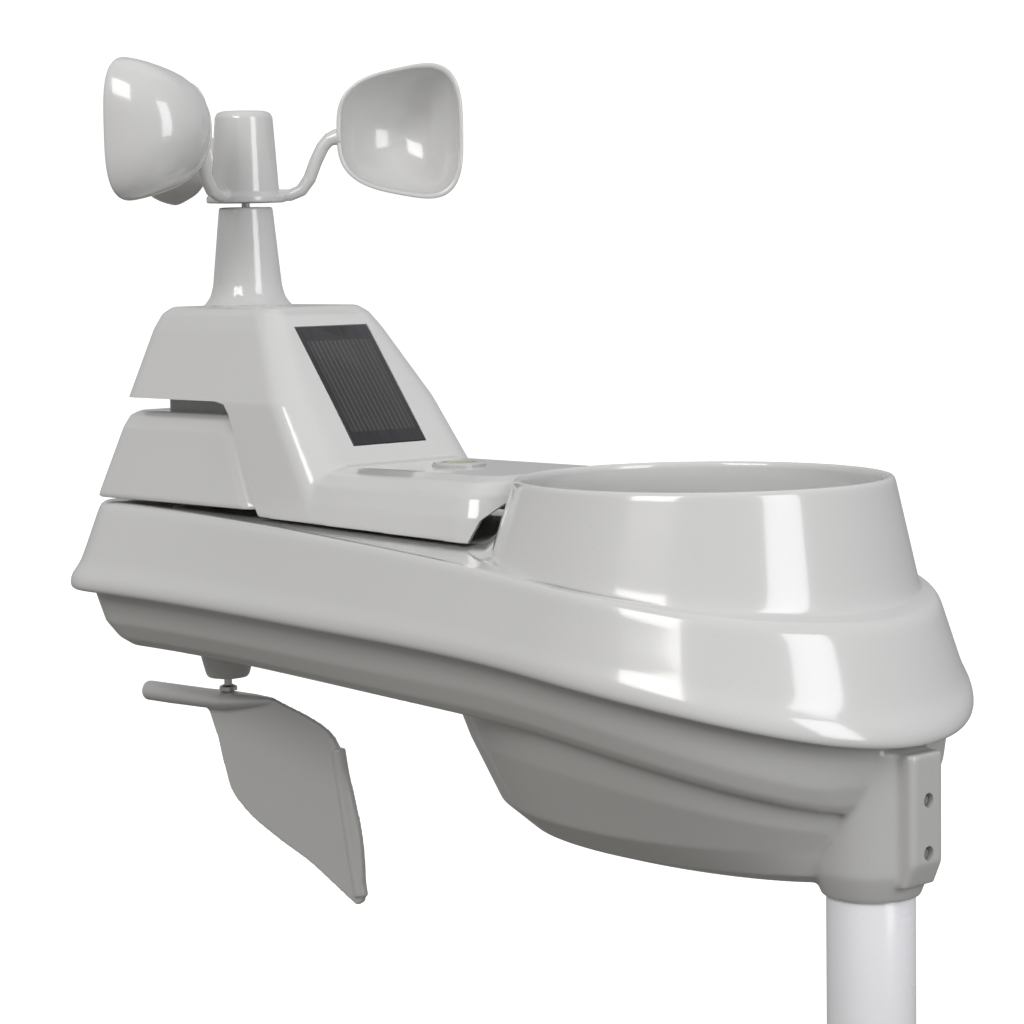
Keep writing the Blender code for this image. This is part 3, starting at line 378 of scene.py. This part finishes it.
def lower_housing():
    solids = [
        tub_solid("tub_outer", 0.0, lambda x: flange_z(x) + 7.0, 0.0),
        turned("socket_solid", [(POLE_R + 1.3, 0.0), (SOCKET_R - 1.2, 4.5), (SOCKET_R, 8.0),
                                (SOCKET_R, 45.0), (SOCKET_R - 2.0, 46.5), (SOCKET_R - 2.0, 56.0)]),
        loft("pad_solid", [rounded(0.0, SOCKET_PAD_X - 3, SOCKET_PAD_HALF, 2, 5),
                           rounded(0.0, SOCKET_PAD_X, SOCKET_PAD_HALF, 2, 12),
                           rounded(0.0, SOCKET_PAD_X, SOCKET_PAD_HALF, 2, 45.0)]),
        turned("boss_solid", [(7.4, BOSS_BOTTOM), (8.2, BOSS_BOTTOM + 1.2), (10.6, 45.0),
                              (13.0, TUB_FLOOR + 0.6), (9.0, 60.0)], VANE_X),
    ]
    housing = fused("housing_skin", solids, 0.8, 6)
    cutters = [tub_solid("tub_hollow", WALL, lambda x: flange_z(x) + 9.0, WALL),
               rod("pole_bore", (0, 0, -5), (0, 0, POLE_TOP + GAP), POLE_R + GAP, 96),
               rod("vane_bore", (VANE_X, 0, 20), (VANE_X, 0, 64), 4.6),
               box("door_opening", (DOOR_X0, -DOOR_HALF, 40), (DOOR_X1, DOOR_HALF, 52))]
    for i, z in enumerate(SOCKET_SCREW_Z):
        cutters.append(rod(f"socket_bore_{i}", (16, 0, z), (30, 0, z), 2.2))
    for i, (x, y) in enumerate(SCREW_POSTS):
        cutters.append(rod(f"post_bore_{i}", (x, y, 40), (x, y, 53), 3.4))
    for i, x in enumerate((-96.0, -36.0)):
        cutters.append(rod(f"drain_{i}", (x, 0, -6), (x, 0, 14), 3.0))
    return carved(housing, cutters)


def panel_box(name, half_length, half_width, low, high):
    """Box on the sloping face: low and high are heights above the face."""
    turn = Matrix.Rotation(PANEL_TILT, 4, "Y")
    corners = [[turn @ Vector((x, y, z)) + Vector(PANEL_MID)
                for x, y in ((-half_length, -half_width), (half_length, -half_width),
                             (half_length, half_width), (-half_length, half_width))]
               for z in (low, high)]
    return loft(name, corners)


def shield_roof():
    levels = ((103.0, -333.5, -195, 41.0, 14), (141.0, -322.5, -223, 36.5, 11.5),
              (166.0, -315.5, -242, 28.0, 8.5), (171.5, -313.0, -246.5, 25.5, 8),
              (174.0, -309.5, -250.5, 22.5, 6.5))
    deck_levels = ((108.0, -245, -124.5, 40, 13), (114.5, -245, -126.5, 37.5, 12),
                   (118.5, -245, -129.5, 32.5, 11), (120.2, -245, -133, 25.0, 8))
    deck_foot = [(x, y, plate_z(x) + 0.8) for x, y, _ in rounded(-245, -124, 41, 13, 0)]
    block = loft("roof_block", [rounded(x0, x1, hw, r, z) for z, x0, x1, hw, r in levels])
    deck = loft("roof_deck", [deck_foot] + [rounded(x0, x1, hw, r, z)
                                            for z, x0, x1, hw, r in deck_levels])
    tower = turned("roof_tower", [(16.5, 171.0), (15.6, 174.6), (13.6, 177.5), (12.6, 181.5),
                                  (NECK_R, NECK_TOP)], TOWER_X)
    louver_space = loft("louver_space", [
        rounded(-400, -233.2, 60, 1, 90), rounded(-400, -236.4, 60, 1, 103.5),
        rounded(-400, -256.0, 60, 1, 137.0), rounded(-400, -259.0, 60, 1, 140.3),
        rounded(-400, -264.0, 60, 1, 141.3)])
    wall = 2.2
    rooms = [
        louver_space,
        loft("roof_room", [rounded(-323.0 + wall, -223 - wall, 36.5 - wall, 5, 139.0),
                           rounded(-315.8 + wall, -242.5 - wall, 27.5 - wall, 5, 166.0),
                           rounded(-311.5 + wall, -249.5 - wall, 23.0 - wall, 4, 171.2)]),
        loft("roof_low_room", [rounded(-231.0, -197, 38.3, 5, 95.0),
                               rounded(-231.0, -198.5, 38.0, 5, 104.0),
                               rounded(-253.0, -226, 34.0, 5, 139.6)]),
        loft("deck_room", [rounded(-206, -126.6, 38.2, 10.5, 95.0),
                           rounded(-206, -127, 37.6, 10.5, 108.0),
                           rounded(-206, -129, 34.6, 10, 113.5),
                           rounded(-206, -132, 28.0, 8, 117.6)]),
        turned("notch_cone", NOTCH_PROFILE, FUNNEL_X),
        rod("shaft_bore", (TOWER_X, 0, 160), (TOWER_X, 0, 220), 5.3),
        panel_box("panel_pocket", PANEL_LENGTH / 2 + GAP, PANEL_HALF + GAP, -1.4, 6.0),
        rod("level_pocket", (LEVEL_X, 0, 116.5), (LEVEL_X, 0, 130), 9.0 + GAP),
    ]
    return carved(fused("roof_skin", [block, deck, tower]), rooms)


def louver_ring():
    outer = ((104.2, -335.0, -238.6, 40.5, 8), (106.0, -334.6, -239.4, 40.3, 8),
             (130.0, -326.0, -255.0, 35.0, 8), (134.5, -324.0, -259.5, 32.5, 7),
             (136.2, -321.0, -263.0, 29.5, 6))
    ring = fused("louver_skin", [loft("louver_solid", [rounded(x0, x1, hw, r, z)
                                                       for z, x0, x1, hw, r in outer])], FINE, 5)
    wall = 2.0
    room = loft("louver_room", [
        rounded(-335.0 + wall, -239.6 - wall, 40.2 - wall, 6, 100.0),
        rounded(-326.2 + wall, -256.0 - wall, 34.6 - wall, 5, 131.0),
        rounded(-323.5 + wall, -260.5 - wall, 32.0 - wall, 4, 134.2)])
    x0, x1, half = CORE
    hole = loft("louver_hole", [rounded(x0 - GAP, x1 + GAP, half + GAP, 5 + GAP, z)
                                for z in (120.0, 150.0)])
    return carved(ring, [room, hole])


# ---------------------------------------------------------------- wind cups and vane

def arm(name, azimuth):
    a = radians(azimuth)
    stations = ((11.5, 213.9, 2.6, 2.2), (16.5, 214.0, 2.6, 2.2), (20.5, 215.6, 2.5, 2.3),
                (23.6, 219.8, 2.4, 2.4), (26.0, 226.0, 2.4, 2.4), (28.6, 231.2, 2.5, 2.4),
                (31.0, 233.9, 2.7, 2.5), (34.6, 235.0, 2.9, 3.2))
    rings = []
    for i, (r, z, wide, thick) in enumerate(stations):
        before, after = stations[max(0, i - 1)], stations[min(len(stations) - 1, i + 1)]
        lean = atan2(after[1] - before[1], after[0] - before[0])
        ring = []
        for k in range(16):
            t = 2 * pi * k / 16
            up, across = thick * sin(t), wide * cos(t)
            reach = r - up * sin(lean)
            ring.append((TOWER_X + reach * cos(a) - across * sin(a),
                         reach * sin(a) + across * cos(a), z + up * cos(lean)))
        rings.append(ring)
    return loft(name, rings)


def cup_hub():
    body = turned("hub_solid", [
        (NECK_R + 1.2, HUB_BOTTOM), (14.2, HUB_BOTTOM), (14.2, HUB_BOTTOM + 2.2),
        (12.4, HUB_BOTTOM + 3.6), (10.6, HUB_TOP - 2.4), (9.8, HUB_TOP - 0.7), (8.0, HUB_TOP),
        (0.4, HUB_TOP), (0.4, 240.3), (1.9, 240.3), (1.9, 219.0), (9.0, 219.0),
        (NECK_R + 1.2, HUB_BOTTOM + 3)], TOWER_X, 0, 64, True)
    arms = [arm(f"arm_{i}", azimuth) for i, azimuth in enumerate(CUP_AZIMUTHS)]
    return fused("hub_skin", [body] + arms, 0.4, 4)


def cup_section(size, depth, squareness, steps=64):
    ring = []
    for i in range(steps):
        t = 2 * pi * i / steps
        c, s = cos(t), sin(t)
        power = 2.0 / squareness
        ring.append((depth, size * abs(c) ** power * (1 if c > 0 else -1),
                     size * abs(s) ** power * (1 if s > 0 else -1)))
    return ring


def cup(name, azimuth):
    """Thin bowl with a rounded square mouth and a rolled lip."""
    profile = ((0.0, 1.0, 3.2), (0.03, 0.998, 3.2), (0.25, 0.965, 3.0), (0.5, 0.87, 2.7),
               (0.72, 0.71, 2.4), (0.88, 0.5, 2.1), (0.97, 0.26, 2.0), (1.0, 0.07, 2.0))
    wall = 1.5
    outer = [cup_section(CUP_HALF * s, CUP_DEPTH * d, q) for d, s, q in profile]
    inner = [cup_section(max(0.6, CUP_HALF * s - wall), (CUP_DEPTH - wall) * d, q)
             for d, s, q in profile]
    a = radians(azimuth)
    across = a - pi / 2
    front = CUP_DEPTH / 2 - CUP_SETBACK
    placed = []
    for ring in list(reversed(outer)) + inner:
        placed.append([(TOWER_X + (CUP_ARM_R + u) * cos(a) + (front - d) * cos(across),
                        (CUP_ARM_R + u) * sin(a) + (front - d) * sin(across),
                        CUP_Z + w * (1 + CUP_TAPER * u / CUP_HALF))
                       for d, u, w in ring])
    return subdivided(loft(name, placed))


def vane_point(along, across, z):
    a = radians(VANE_AZIMUTH)
    return (VANE_X + along * cos(a) - across * sin(a), along * sin(a) + across * cos(a), z)


def softened(points, steps):
    """Closed outline through the points, with steps smooth spans between neighbours."""
    made = []
    for i, (x1, z1) in enumerate(points):
        x0, z0 = points[i - 1]
        x2, z2 = points[(i + 1) % len(points)]
        x3, z3 = points[(i + 2) % len(points)]
        for t in (k / steps for k in range(steps)):
            made.append(tuple(
                0.5 * (2 * b + (c - a) * t + (2 * a - 5 * b + 4 * c - d) * t * t
                       + (3 * b - a - 3 * c + d) * t ** 3)
                for a, b, c, d in ((x0, x1, x2, x3), (z0, z1, z2, z3))))
    return made


def wind_vane():
    fin = [(-10, 25), (-9, 20), (-5.5, 12), (-2.5, 2), (1.2, -8), (6.5, -13.5), (13.5, -18.5),
           (26, -24.8), (40, -31), (52, -38), (61.5, -43.6), (64.0, -43.6), (65.8, -40),
           (65.0, -20), (58.5, 5), (53.5, 15), (48.5, 19.4), (40.0, 23.0), (30.0, 26.0),
           (21.0, 28.4), (10.0, 28.4)]
    fin = softened(fin, 6)
    half = 1.25
    sheet = loft("fin", [[vane_point(u, y, z) for u, z in fin] for y in (-half, half)])
    bar = ((-43.6, 2.2, 2.6, 25.9), (-42.2, 4.0, 3.8, 25.9), (-30.0, 4.8, 3.8, 25.7),
           (-12.0, 6.2, 3.6, 25.5), (0.0, 7.2, 3.4, 25.8), (12.0, 5.4, 2.4, 26.6),
           (23.0, 1.6, 1.2, 27.3))
    nose = loft("vane_bar", [[vane_point(u, wide * cos(t), z + tall * sin(t))
                              for t in (2 * pi * k / 24 for k in range(24))]
                             for u, wide, tall, z in bar])
    rib = rod("vane_rib", vane_point(54.6, 0, 12.5), vane_point(64.2, 0, -41.0), 2.6)
    vane = fused("vane_skin", [sheet, nose, rib], 0.5, 5)
    return carved(vane, [rod("vane_hole", (VANE_X, 0, 23.6), (VANE_X, 0, 40), 1.5 + GAP)])


# ---------------------------------------------------------------- pole, foot, rain gauge

def pole_foot():
    base = -HEAD
    foot = turned("foot_skin", [
        (FOOT_R - 2, base), (FOOT_R - 0.6, base + 0.6), (FOOT_R, base + 2), (FOOT_R, base + 5),
        (FOOT_R - 0.5, base + 6.2), (FOOT_R - 2, base + 7), (COLLAR_R + 4, base + 9),
        (COLLAR_R + 1.2, base + 10.6), (COLLAR_R, base + 14), (COLLAR_R, base + COLLAR_TOP - 1.5),
        (COLLAR_R - 0.5, base + COLLAR_TOP - 0.4), (COLLAR_R - 1.5, base + COLLAR_TOP),
        (POLE_R + GAP, base + COLLAR_TOP), (POLE_R + GAP, base + 4)], 0, 0, 128)
    holes = []
    for i in range(4):
        a = pi / 4 + pi / 2 * i
        x, y = FOOT_HOLE_PCD_R * cos(a), FOOT_HOLE_PCD_R * sin(a)
        holes.append(rod(f"foot_hole_{i}", (x, y, base - 5), (x, y, base + 20), FOOT_HOLE_R))
    holes.append(rod("foot_screw_hole", (POLE_R, 0, base + 28), (30, 0, base + 28), 2.4))
    return carved(foot, holes)


def mast_pole():
    low, top = -HEAD + 4 + GAP, POLE_TOP
    return turned("pole_skin", [(POLE_R - 0.5, low), (POLE_R, low + 0.5), (POLE_R, top - 0.5),
                                (POLE_R - 0.5, top), (POLE_BORE_R + 0.4, top),
                                (POLE_BORE_R, top - 0.4), (POLE_BORE_R, low)], 0, 0, 128, True)


def rain_funnel():
    edge_r = 61.0
    return turned("funnel_skin", [
        (edge_r, FUNNEL_EDGE_Z - 2.0), (edge_r, FUNNEL_EDGE_Z), (edge_r - 4, FUNNEL_EDGE_Z - 1.0),
        (SPOUT_R + 5.0, FUNNEL_SPOUT_Z + 11.8), (SPOUT_R + 2.0, FUNNEL_SPOUT_Z + 10.2),
        (SPOUT_R, FUNNEL_SPOUT_Z + 8), (SPOUT_R, FUNNEL_SPOUT_Z), (SPOUT_R + 1.6, FUNNEL_SPOUT_Z),
        (SPOUT_R + 1.6, FUNNEL_SPOUT_Z + 6), (edge_r - 4, FUNNEL_EDGE_Z - 3.6)],
        FUNNEL_X, 0, 128, True)


# ---------------------------------------------------------------- solar cell and level

def solar_cell():
    """Glass-faced cell, drawn flat about its own centre so that its lines follow the slope."""
    low, high = -1.1, 0.35
    cell = box("cell_skin", (-PANEL_LENGTH / 2, -PANEL_HALF, low - HEAD),
               (PANEL_LENGTH / 2, PANEL_HALF, high - HEAD))
    rounded_edges(cell, 0.3)
    cell.rotation_euler = (0.0, PANEL_TILT, 0.0)
    cell.location = [PANEL_MID[0] * MM, PANEL_MID[1] * MM, (PANEL_MID[2] + HEAD) * MM]
    return cell


# ---------------------------------------------------------------- materials

class Nodes:
    """Small helper for building a material's node tree."""

    def __init__(self, name):
        self.material = bpy.data.materials.new(name)
        self.material.use_nodes = True
        self.tree = self.material.node_tree
        self.shader = self.tree.nodes["Principled BSDF"]
        self.coords = self.tree.nodes.new("ShaderNodeTexCoord").outputs["Object"]

    def link(self, a, b):
        self.tree.links.new(a, b)

    def math(self, operation, a, b=0.0):
        node = self.tree.nodes.new("ShaderNodeMath")
        node.operation = operation
        for socket, value in zip(node.inputs, (a, b)):
            if isinstance(value, (int, float)):
                socket.default_value = value
            else:
                self.link(value, socket)
        return node.outputs[0]

    def noise(self, scale, detail=3.0, stretch=(1, 1, 1)):
        place = self.tree.nodes.new("ShaderNodeMapping")
        place.inputs["Scale"].default_value = stretch
        self.link(self.coords, place.inputs["Vector"])
        node = self.tree.nodes.new("ShaderNodeTexNoise")
        node.inputs["Scale"].default_value = scale
        node.inputs["Detail"].default_value = detail
        self.link(place.outputs[0], node.inputs["Vector"])
        return node.outputs["Fac"]

    def ramp(self, value, low, high, from_min=0.3, from_max=0.7):
        node = self.tree.nodes.new("ShaderNodeMapRange")
        node.inputs["From Min"].default_value = from_min
        node.inputs["From Max"].default_value = from_max
        node.inputs["To Min"].default_value = low
        node.inputs["To Max"].default_value = high
        self.link(value, node.inputs["Value"])
        return node.outputs[0]

    def mix(self, factor, a, b):
        node = self.tree.nodes.new("ShaderNodeMix")
        node.data_type = "RGBA"
        if isinstance(factor, float):
            node.inputs[0].default_value = factor
        else:
            self.link(factor, node.inputs[0])
        for socket, value in zip(node.inputs[6:8], (a, b)):
            if isinstance(value, tuple):
                socket.default_value = (*value, 1.0)
            else:
                self.link(value, socket)
        return node.outputs[2]

    def bump(self, height, strength, distance):
        node = self.tree.nodes.new("ShaderNodeBump")
        node.inputs["Strength"].default_value = strength
        node.inputs["Distance"].default_value = distance
        self.link(height, node.inputs["Height"])
        self.link(node.outputs[0], self.shader.inputs["Normal"])

    def put(self, **values):
        for key, value in values.items():
            socket = self.shader.inputs[key.replace("_", " ")]
            if isinstance(value, tuple):
                socket.default_value = (*value, 1.0)
            elif isinstance(value, (int, float)):
                socket.default_value = value
            else:
                self.link(value, socket)


def plastic(name, tone, shade, gloss, grain=0.04, coat=0.0):
    """Moulded plastic: faint flow marks in tone, uneven polish, fine grain and sparse dust."""
    n = Nodes(name)
    flow = n.ramp(n.noise(9.0, 4.0, (1.0, 1.0, 2.2)), 0.0, 1.0, 0.1, 0.9)
    speck = n.ramp(n.noise(1500.0, 1.0), 0.0, 0.16, 0.66, 0.78)
    colour = n.mix(flow, tone, shade)
    n.put(Base_Color=n.mix(speck, colour, tuple(c * 0.6 for c in shade)),
          Roughness=n.ramp(n.noise(35.0), gloss * 0.85, gloss * 1.2, 0.1, 0.9),
          IOR=1.49, Coat_Weight=coat, Coat_Roughness=0.08)
    n.bump(n.noise(2600.0, 2.0), grain, 0.0001)
    return n.material


def metal(name, colour, rough, stretch=(1, 1, 1)):
    """Bare metal with fine brush lines, which lie closer together on an axis of larger stretch."""
    n = Nodes(name)
    brush = n.noise(900.0, 3.0, stretch)
    n.put(Base_Color=n.mix(n.ramp(n.noise(60.0), 0.0, 1.0), colour, tuple(c * 0.9 for c in colour)),
          Metallic=1.0, Roughness=n.ramp(brush, rough * 0.8, rough * 1.25))
    n.bump(brush, 0.05, 0.00005)
    return n.material


def cell_material():
    """Dark silicon behind a clear face, with fine collector lines along the slope."""
    n = Nodes("solar_cell")
    split = n.tree.nodes.new("ShaderNodeSeparateXYZ")
    n.link(n.coords, split.inputs[0])
    along, across = split.outputs["X"], split.outputs["Y"]
    lines = 14
    pitch = 2 * PANEL_HALF * 0.86 * MM / lines
    wave = n.math("FRACT", n.math("ADD", n.math("DIVIDE", across, pitch), 0.5 + lines))
    line = n.math("LESS_THAN", n.math("ABSOLUTE", n.math("SUBTRACT", wave, 0.5)), 0.09)
    inside_across = n.math("LESS_THAN", n.math("ABSOLUTE", across), PANEL_HALF * 0.86 * MM)
    centred = n.math("ADD", along, -0.4 * MM)
    inside_along = n.math("LESS_THAN", n.math("ABSOLUTE", centred), PANEL_LENGTH * 0.385 * MM)
    inside = n.math("MULTIPLY", inside_across, inside_along)
    drawn = n.math("MULTIPLY", line, inside)
    grain = n.ramp(n.noise(500.0, 4.0, (0.15, 1.0, 1.0)), 0.0, 1.0)
    base = n.mix(inside, (0.012, 0.012, 0.017), (0.026, 0.026, 0.027))
    base = n.mix(n.math("MULTIPLY", grain, 0.5), base, (0.04, 0.04, 0.041))
    n.put(Base_Color=n.mix(n.math("MULTIPLY", drawn, 0.75), base, (0.12, 0.12, 0.115)),
          Roughness=n.ramp(n.noise(40.0), 0.2, 0.32), Coat_Weight=0.35, Coat_Roughness=0.06)
    return n.material


def board_material():
    n = Nodes("circuit_board")
    cells = n.tree.nodes.new("ShaderNodeTexVoronoi")
    cells.inputs["Scale"].default_value = 260.0
    cells.distance = "CHEBYCHEV"
    n.link(n.coords, cells.inputs["Vector"])
    traces = n.ramp(cells.outputs["Distance"], 0.0, 1.0, 0.35, 0.42)
    n.put(Base_Color=n.mix(traces, (0.015, 0.09, 0.04), (0.03, 0.16, 0.07)), Roughness=0.35)
    n.bump(traces, 0.2, 0.0001)
    return n.material


def cell_wrap():
    """Printed sleeve of a dry cell: dark band at one end, satin grey for the rest."""
    n = Nodes("battery_wrap")
    split = n.tree.nodes.new("ShaderNodeSeparateXYZ")
    n.link(n.coords, split.inputs[0])
    band = n.ramp(split.outputs["Y"], 0.0, 1.0, 0.0119, 0.0121)
    n.put(Base_Color=n.mix(band, (0.05, 0.05, 0.055), (0.45, 0.3, 0.16)),
          Metallic=0.5, Roughness=n.ramp(n.noise(80.0), 0.25, 0.35))
    return n.material


def lens_material():
    n = Nodes("level_fluid")
    n.put(Base_Color=n.mix(n.ramp(n.noise(120.0), 0.0, 1.0), (0.62, 0.75, 0.3), (0.7, 0.8, 0.4)),
          Roughness=0.04, Transmission_Weight=0.6, IOR=1.45)
    return n.material


def rubber_material():
    n = Nodes("seal_rubber")
    n.put(Base_Color=n.mix(n.noise(300.0), (0.02, 0.02, 0.02), (0.035, 0.035, 0.035)),
          Roughness=n.ramp(n.noise(700.0), 0.65, 0.85))
    n.bump(n.noise(1800.0), 0.1, 0.0001)
    return n.material


# ---------------------------------------------------------------- build

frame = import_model()

SHELL = plastic("shell_plastic", (0.73, 0.73, 0.72), (0.69, 0.69, 0.68), 0.2, 0.03, 1.0)
HOUSING = plastic("housing_plastic", (0.57, 0.57, 0.56), (0.53, 0.53, 0.52), 0.3, 0.06, 0.5)
FINISHES = {
    "shell": SHELL,
    "tub": HOUSING,
    "pole": plastic("pole_paint", (0.93, 0.93, 0.96), (0.91, 0.91, 0.94), 0.28, 0.02, 0.3),
    "cell": cell_material(),
    "steel": metal("steel", (0.62, 0.62, 0.64), 0.3, (1, 1, 8)),
    "brass": metal("brass", (0.72, 0.55, 0.26), 0.3, (1, 1, 8)),
    "black": plastic("black_plastic", (0.03, 0.03, 0.031), (0.02, 0.02, 0.021), 0.45, 0.1),
    "board": board_material(),
    "battery": cell_wrap(),
    "rubber": rubber_material(),
    "lens": lens_material(),
}

slots = {s["node"]: s["material_slot"] for s in frame["record"]["subparts"]}
for name, node in frame["nodes"].items():
    node.data.materials.clear()
    node.data.materials.append(FINISHES[slots[name]])


def stands_for(piece, node, body):
    piece.data.materials.clear()
    piece.data.materials.append(FINISHES[slots[node]])
    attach(piece, body)
    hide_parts(node)


stands_for(upper_shell(), "upper_shell", "station")
stands_for(lower_housing(), "lower_housing", "station")
stands_for(shield_roof(), "solar_roof", "station")
stands_for(louver_ring(), "louver_ring", "station")
stands_for(pole_foot(), "pole_foot", "station")
stands_for(mast_pole(), "mast_pole", "station")
stands_for(rain_funnel(), "rain_funnel", "station")
stands_for(solar_cell(), "solar_panel", "station")
stands_for(cup_hub(), "cup_hub", "wind_rotor")
for number, cup_azimuth in enumerate(CUP_AZIMUTHS):
    stands_for(cup(f"cup_skin_{number + 1}", cup_azimuth), f"wind_cup_{number + 1}", "wind_rotor")
stands_for(wind_vane(), "wind_vane", "vane")


# ---------------------------------------------------------------- studio

def cyclorama():
    """Round white studio floor and wall in one sweep. Only the camera sees it, so the shaded
    underside keeps its depth; the object's shadow still falls on it."""
    steps = SWEEP_STEPS
    profile = [(0.001, 0.0), (SWEEP_BEND, 0.0), (SWEEP_R, 0.0)]
    profile += [(SWEEP_R + SWEEP_BEND * sin(a), SWEEP_BEND * (1 - cos(a)))
                for a in (radians(90) * i / 12 for i in range(1, 13))]
    profile += [(SWEEP_R + SWEEP_BEND, 12.0)]
    rings = [[(r * cos(a), r * sin(a), z) for a in (2 * pi * i / steps for i in range(steps))]
             for r, z in profile]
    points = [p for ring in rings for p in ring]
    faces = [(k + i, k + (i + 1) % steps, k + steps + (i + 1) % steps, k + steps + i)
             for k in range(0, steps * (len(rings) - 1), steps) for i in range(steps)]
    mesh = bpy.data.meshes.new("cyclorama")
    mesh.from_pydata(points, [], faces + [tuple(range(steps - 1, -1, -1))])
    mesh.shade_smooth()
    item = as_object("cyclorama", mesh)
    n = Nodes("studio_paint")
    n.put(Base_Color=n.mix(n.noise(3.0), (0.55, 0.55, 0.55), (0.6, 0.6, 0.6)), Roughness=1.0,
          Emission_Color=(1.0, 1.0, 1.0), Emission_Strength=BACKDROP_GLOW)
    n.shader.inputs["Specular IOR Level"].default_value = 0.0
    item.data.materials.append(n.material)
    item.visible_diffuse = item.visible_glossy = item.visible_transmission = False
    item.visible_shadow = False


def softbox(name, azimuth, elevation, distance, width, height, power, colour=(1, 1, 1)):
    """Area light that looks at the object's middle."""
    a, e = radians(azimuth), radians(elevation)
    light = bpy.data.lights.new(name, "AREA")
    light.shape = "RECTANGLE"
    light.size, light.size_y = width, height
    light.energy = power
    light.color = colour
    item = bpy.data.objects.new(name, light)
    away = Vector((cos(a) * cos(e), sin(a) * cos(e), sin(e)))
    item.location = Vector(AIM) + away * distance
    item.rotation_euler = away.to_track_quat("Z", "Y").to_euler()
    bpy.context.scene.collection.objects.link(item)


def camera():
    """The viewpoint: azimuth 46 degrees, a little above the head, with a long lens."""
    azimuth, pitch, roll = radians(CAMERA_AZIMUTH), CAMERA_PITCH, CAMERA_ROLL
    back = Vector((sin(azimuth) * cos(pitch), -cos(azimuth) * cos(pitch), sin(pitch)))
    right = Vector((cos(azimuth), sin(azimuth), 0.0))
    up = back.cross(right)
    right, up = right * cos(roll) + up * sin(roll), up * cos(roll) - right * sin(roll)
    data = bpy.data.cameras.new("camera")
    data.sensor_width = 36.0
    data.lens = CAMERA_LENS
    data.clip_start = 0.01
    item = bpy.data.objects.new("camera", data)
    place = Matrix((right, up, back)).transposed().to_4x4()
    place.translation = (back * CAMERA_BACK - right * CAMERA_LEFT + up * CAMERA_UP
                         + Vector((0, 0, HEAD * MM)))
    item.matrix_world = place
    bpy.context.scene.collection.objects.link(item)
    bpy.context.scene.camera = item


def world():
    """Even sky light from above, about a third as much from below."""
    made = bpy.data.worlds.new("studio")
    made.use_nodes = True
    tree = made.node_tree
    split = tree.nodes.new("ShaderNodeSeparateXYZ")
    tree.links.new(tree.nodes.new("ShaderNodeTexCoord").outputs["Generated"], split.inputs[0])
    ramp = tree.nodes.new("ShaderNodeValToRGB")
    for element, (position, colour) in zip(ramp.color_ramp.elements, (SKY_LOW, SKY_HIGH)):
        element.position, element.color = position, colour
    half = tree.nodes.new("ShaderNodeMapRange")
    half.inputs["From Min"].default_value = -1.0
    tree.links.new(split.outputs["Z"], half.inputs["Value"])
    tree.links.new(half.outputs[0], ramp.inputs[0])
    tree.links.new(ramp.outputs[0], tree.nodes["Background"].inputs["Color"])
    tree.nodes["Background"].inputs["Strength"].default_value = SKY
    bpy.context.scene.world = made


cyclorama()
world()
softbox("window", -1, 16, 1.7, 0.62, 1.1, 9.0, (0.97, 0.98, 1.0))
softbox("front_fill", -76, 34, 2.0, 0.9, 0.8, 14, (1.0, 0.985, 0.96))
softbox("top", 110, 70, 2.0, 1.6, 1.6, 2)
camera()
bpy.context.scene.view_settings.view_transform = "Standard"
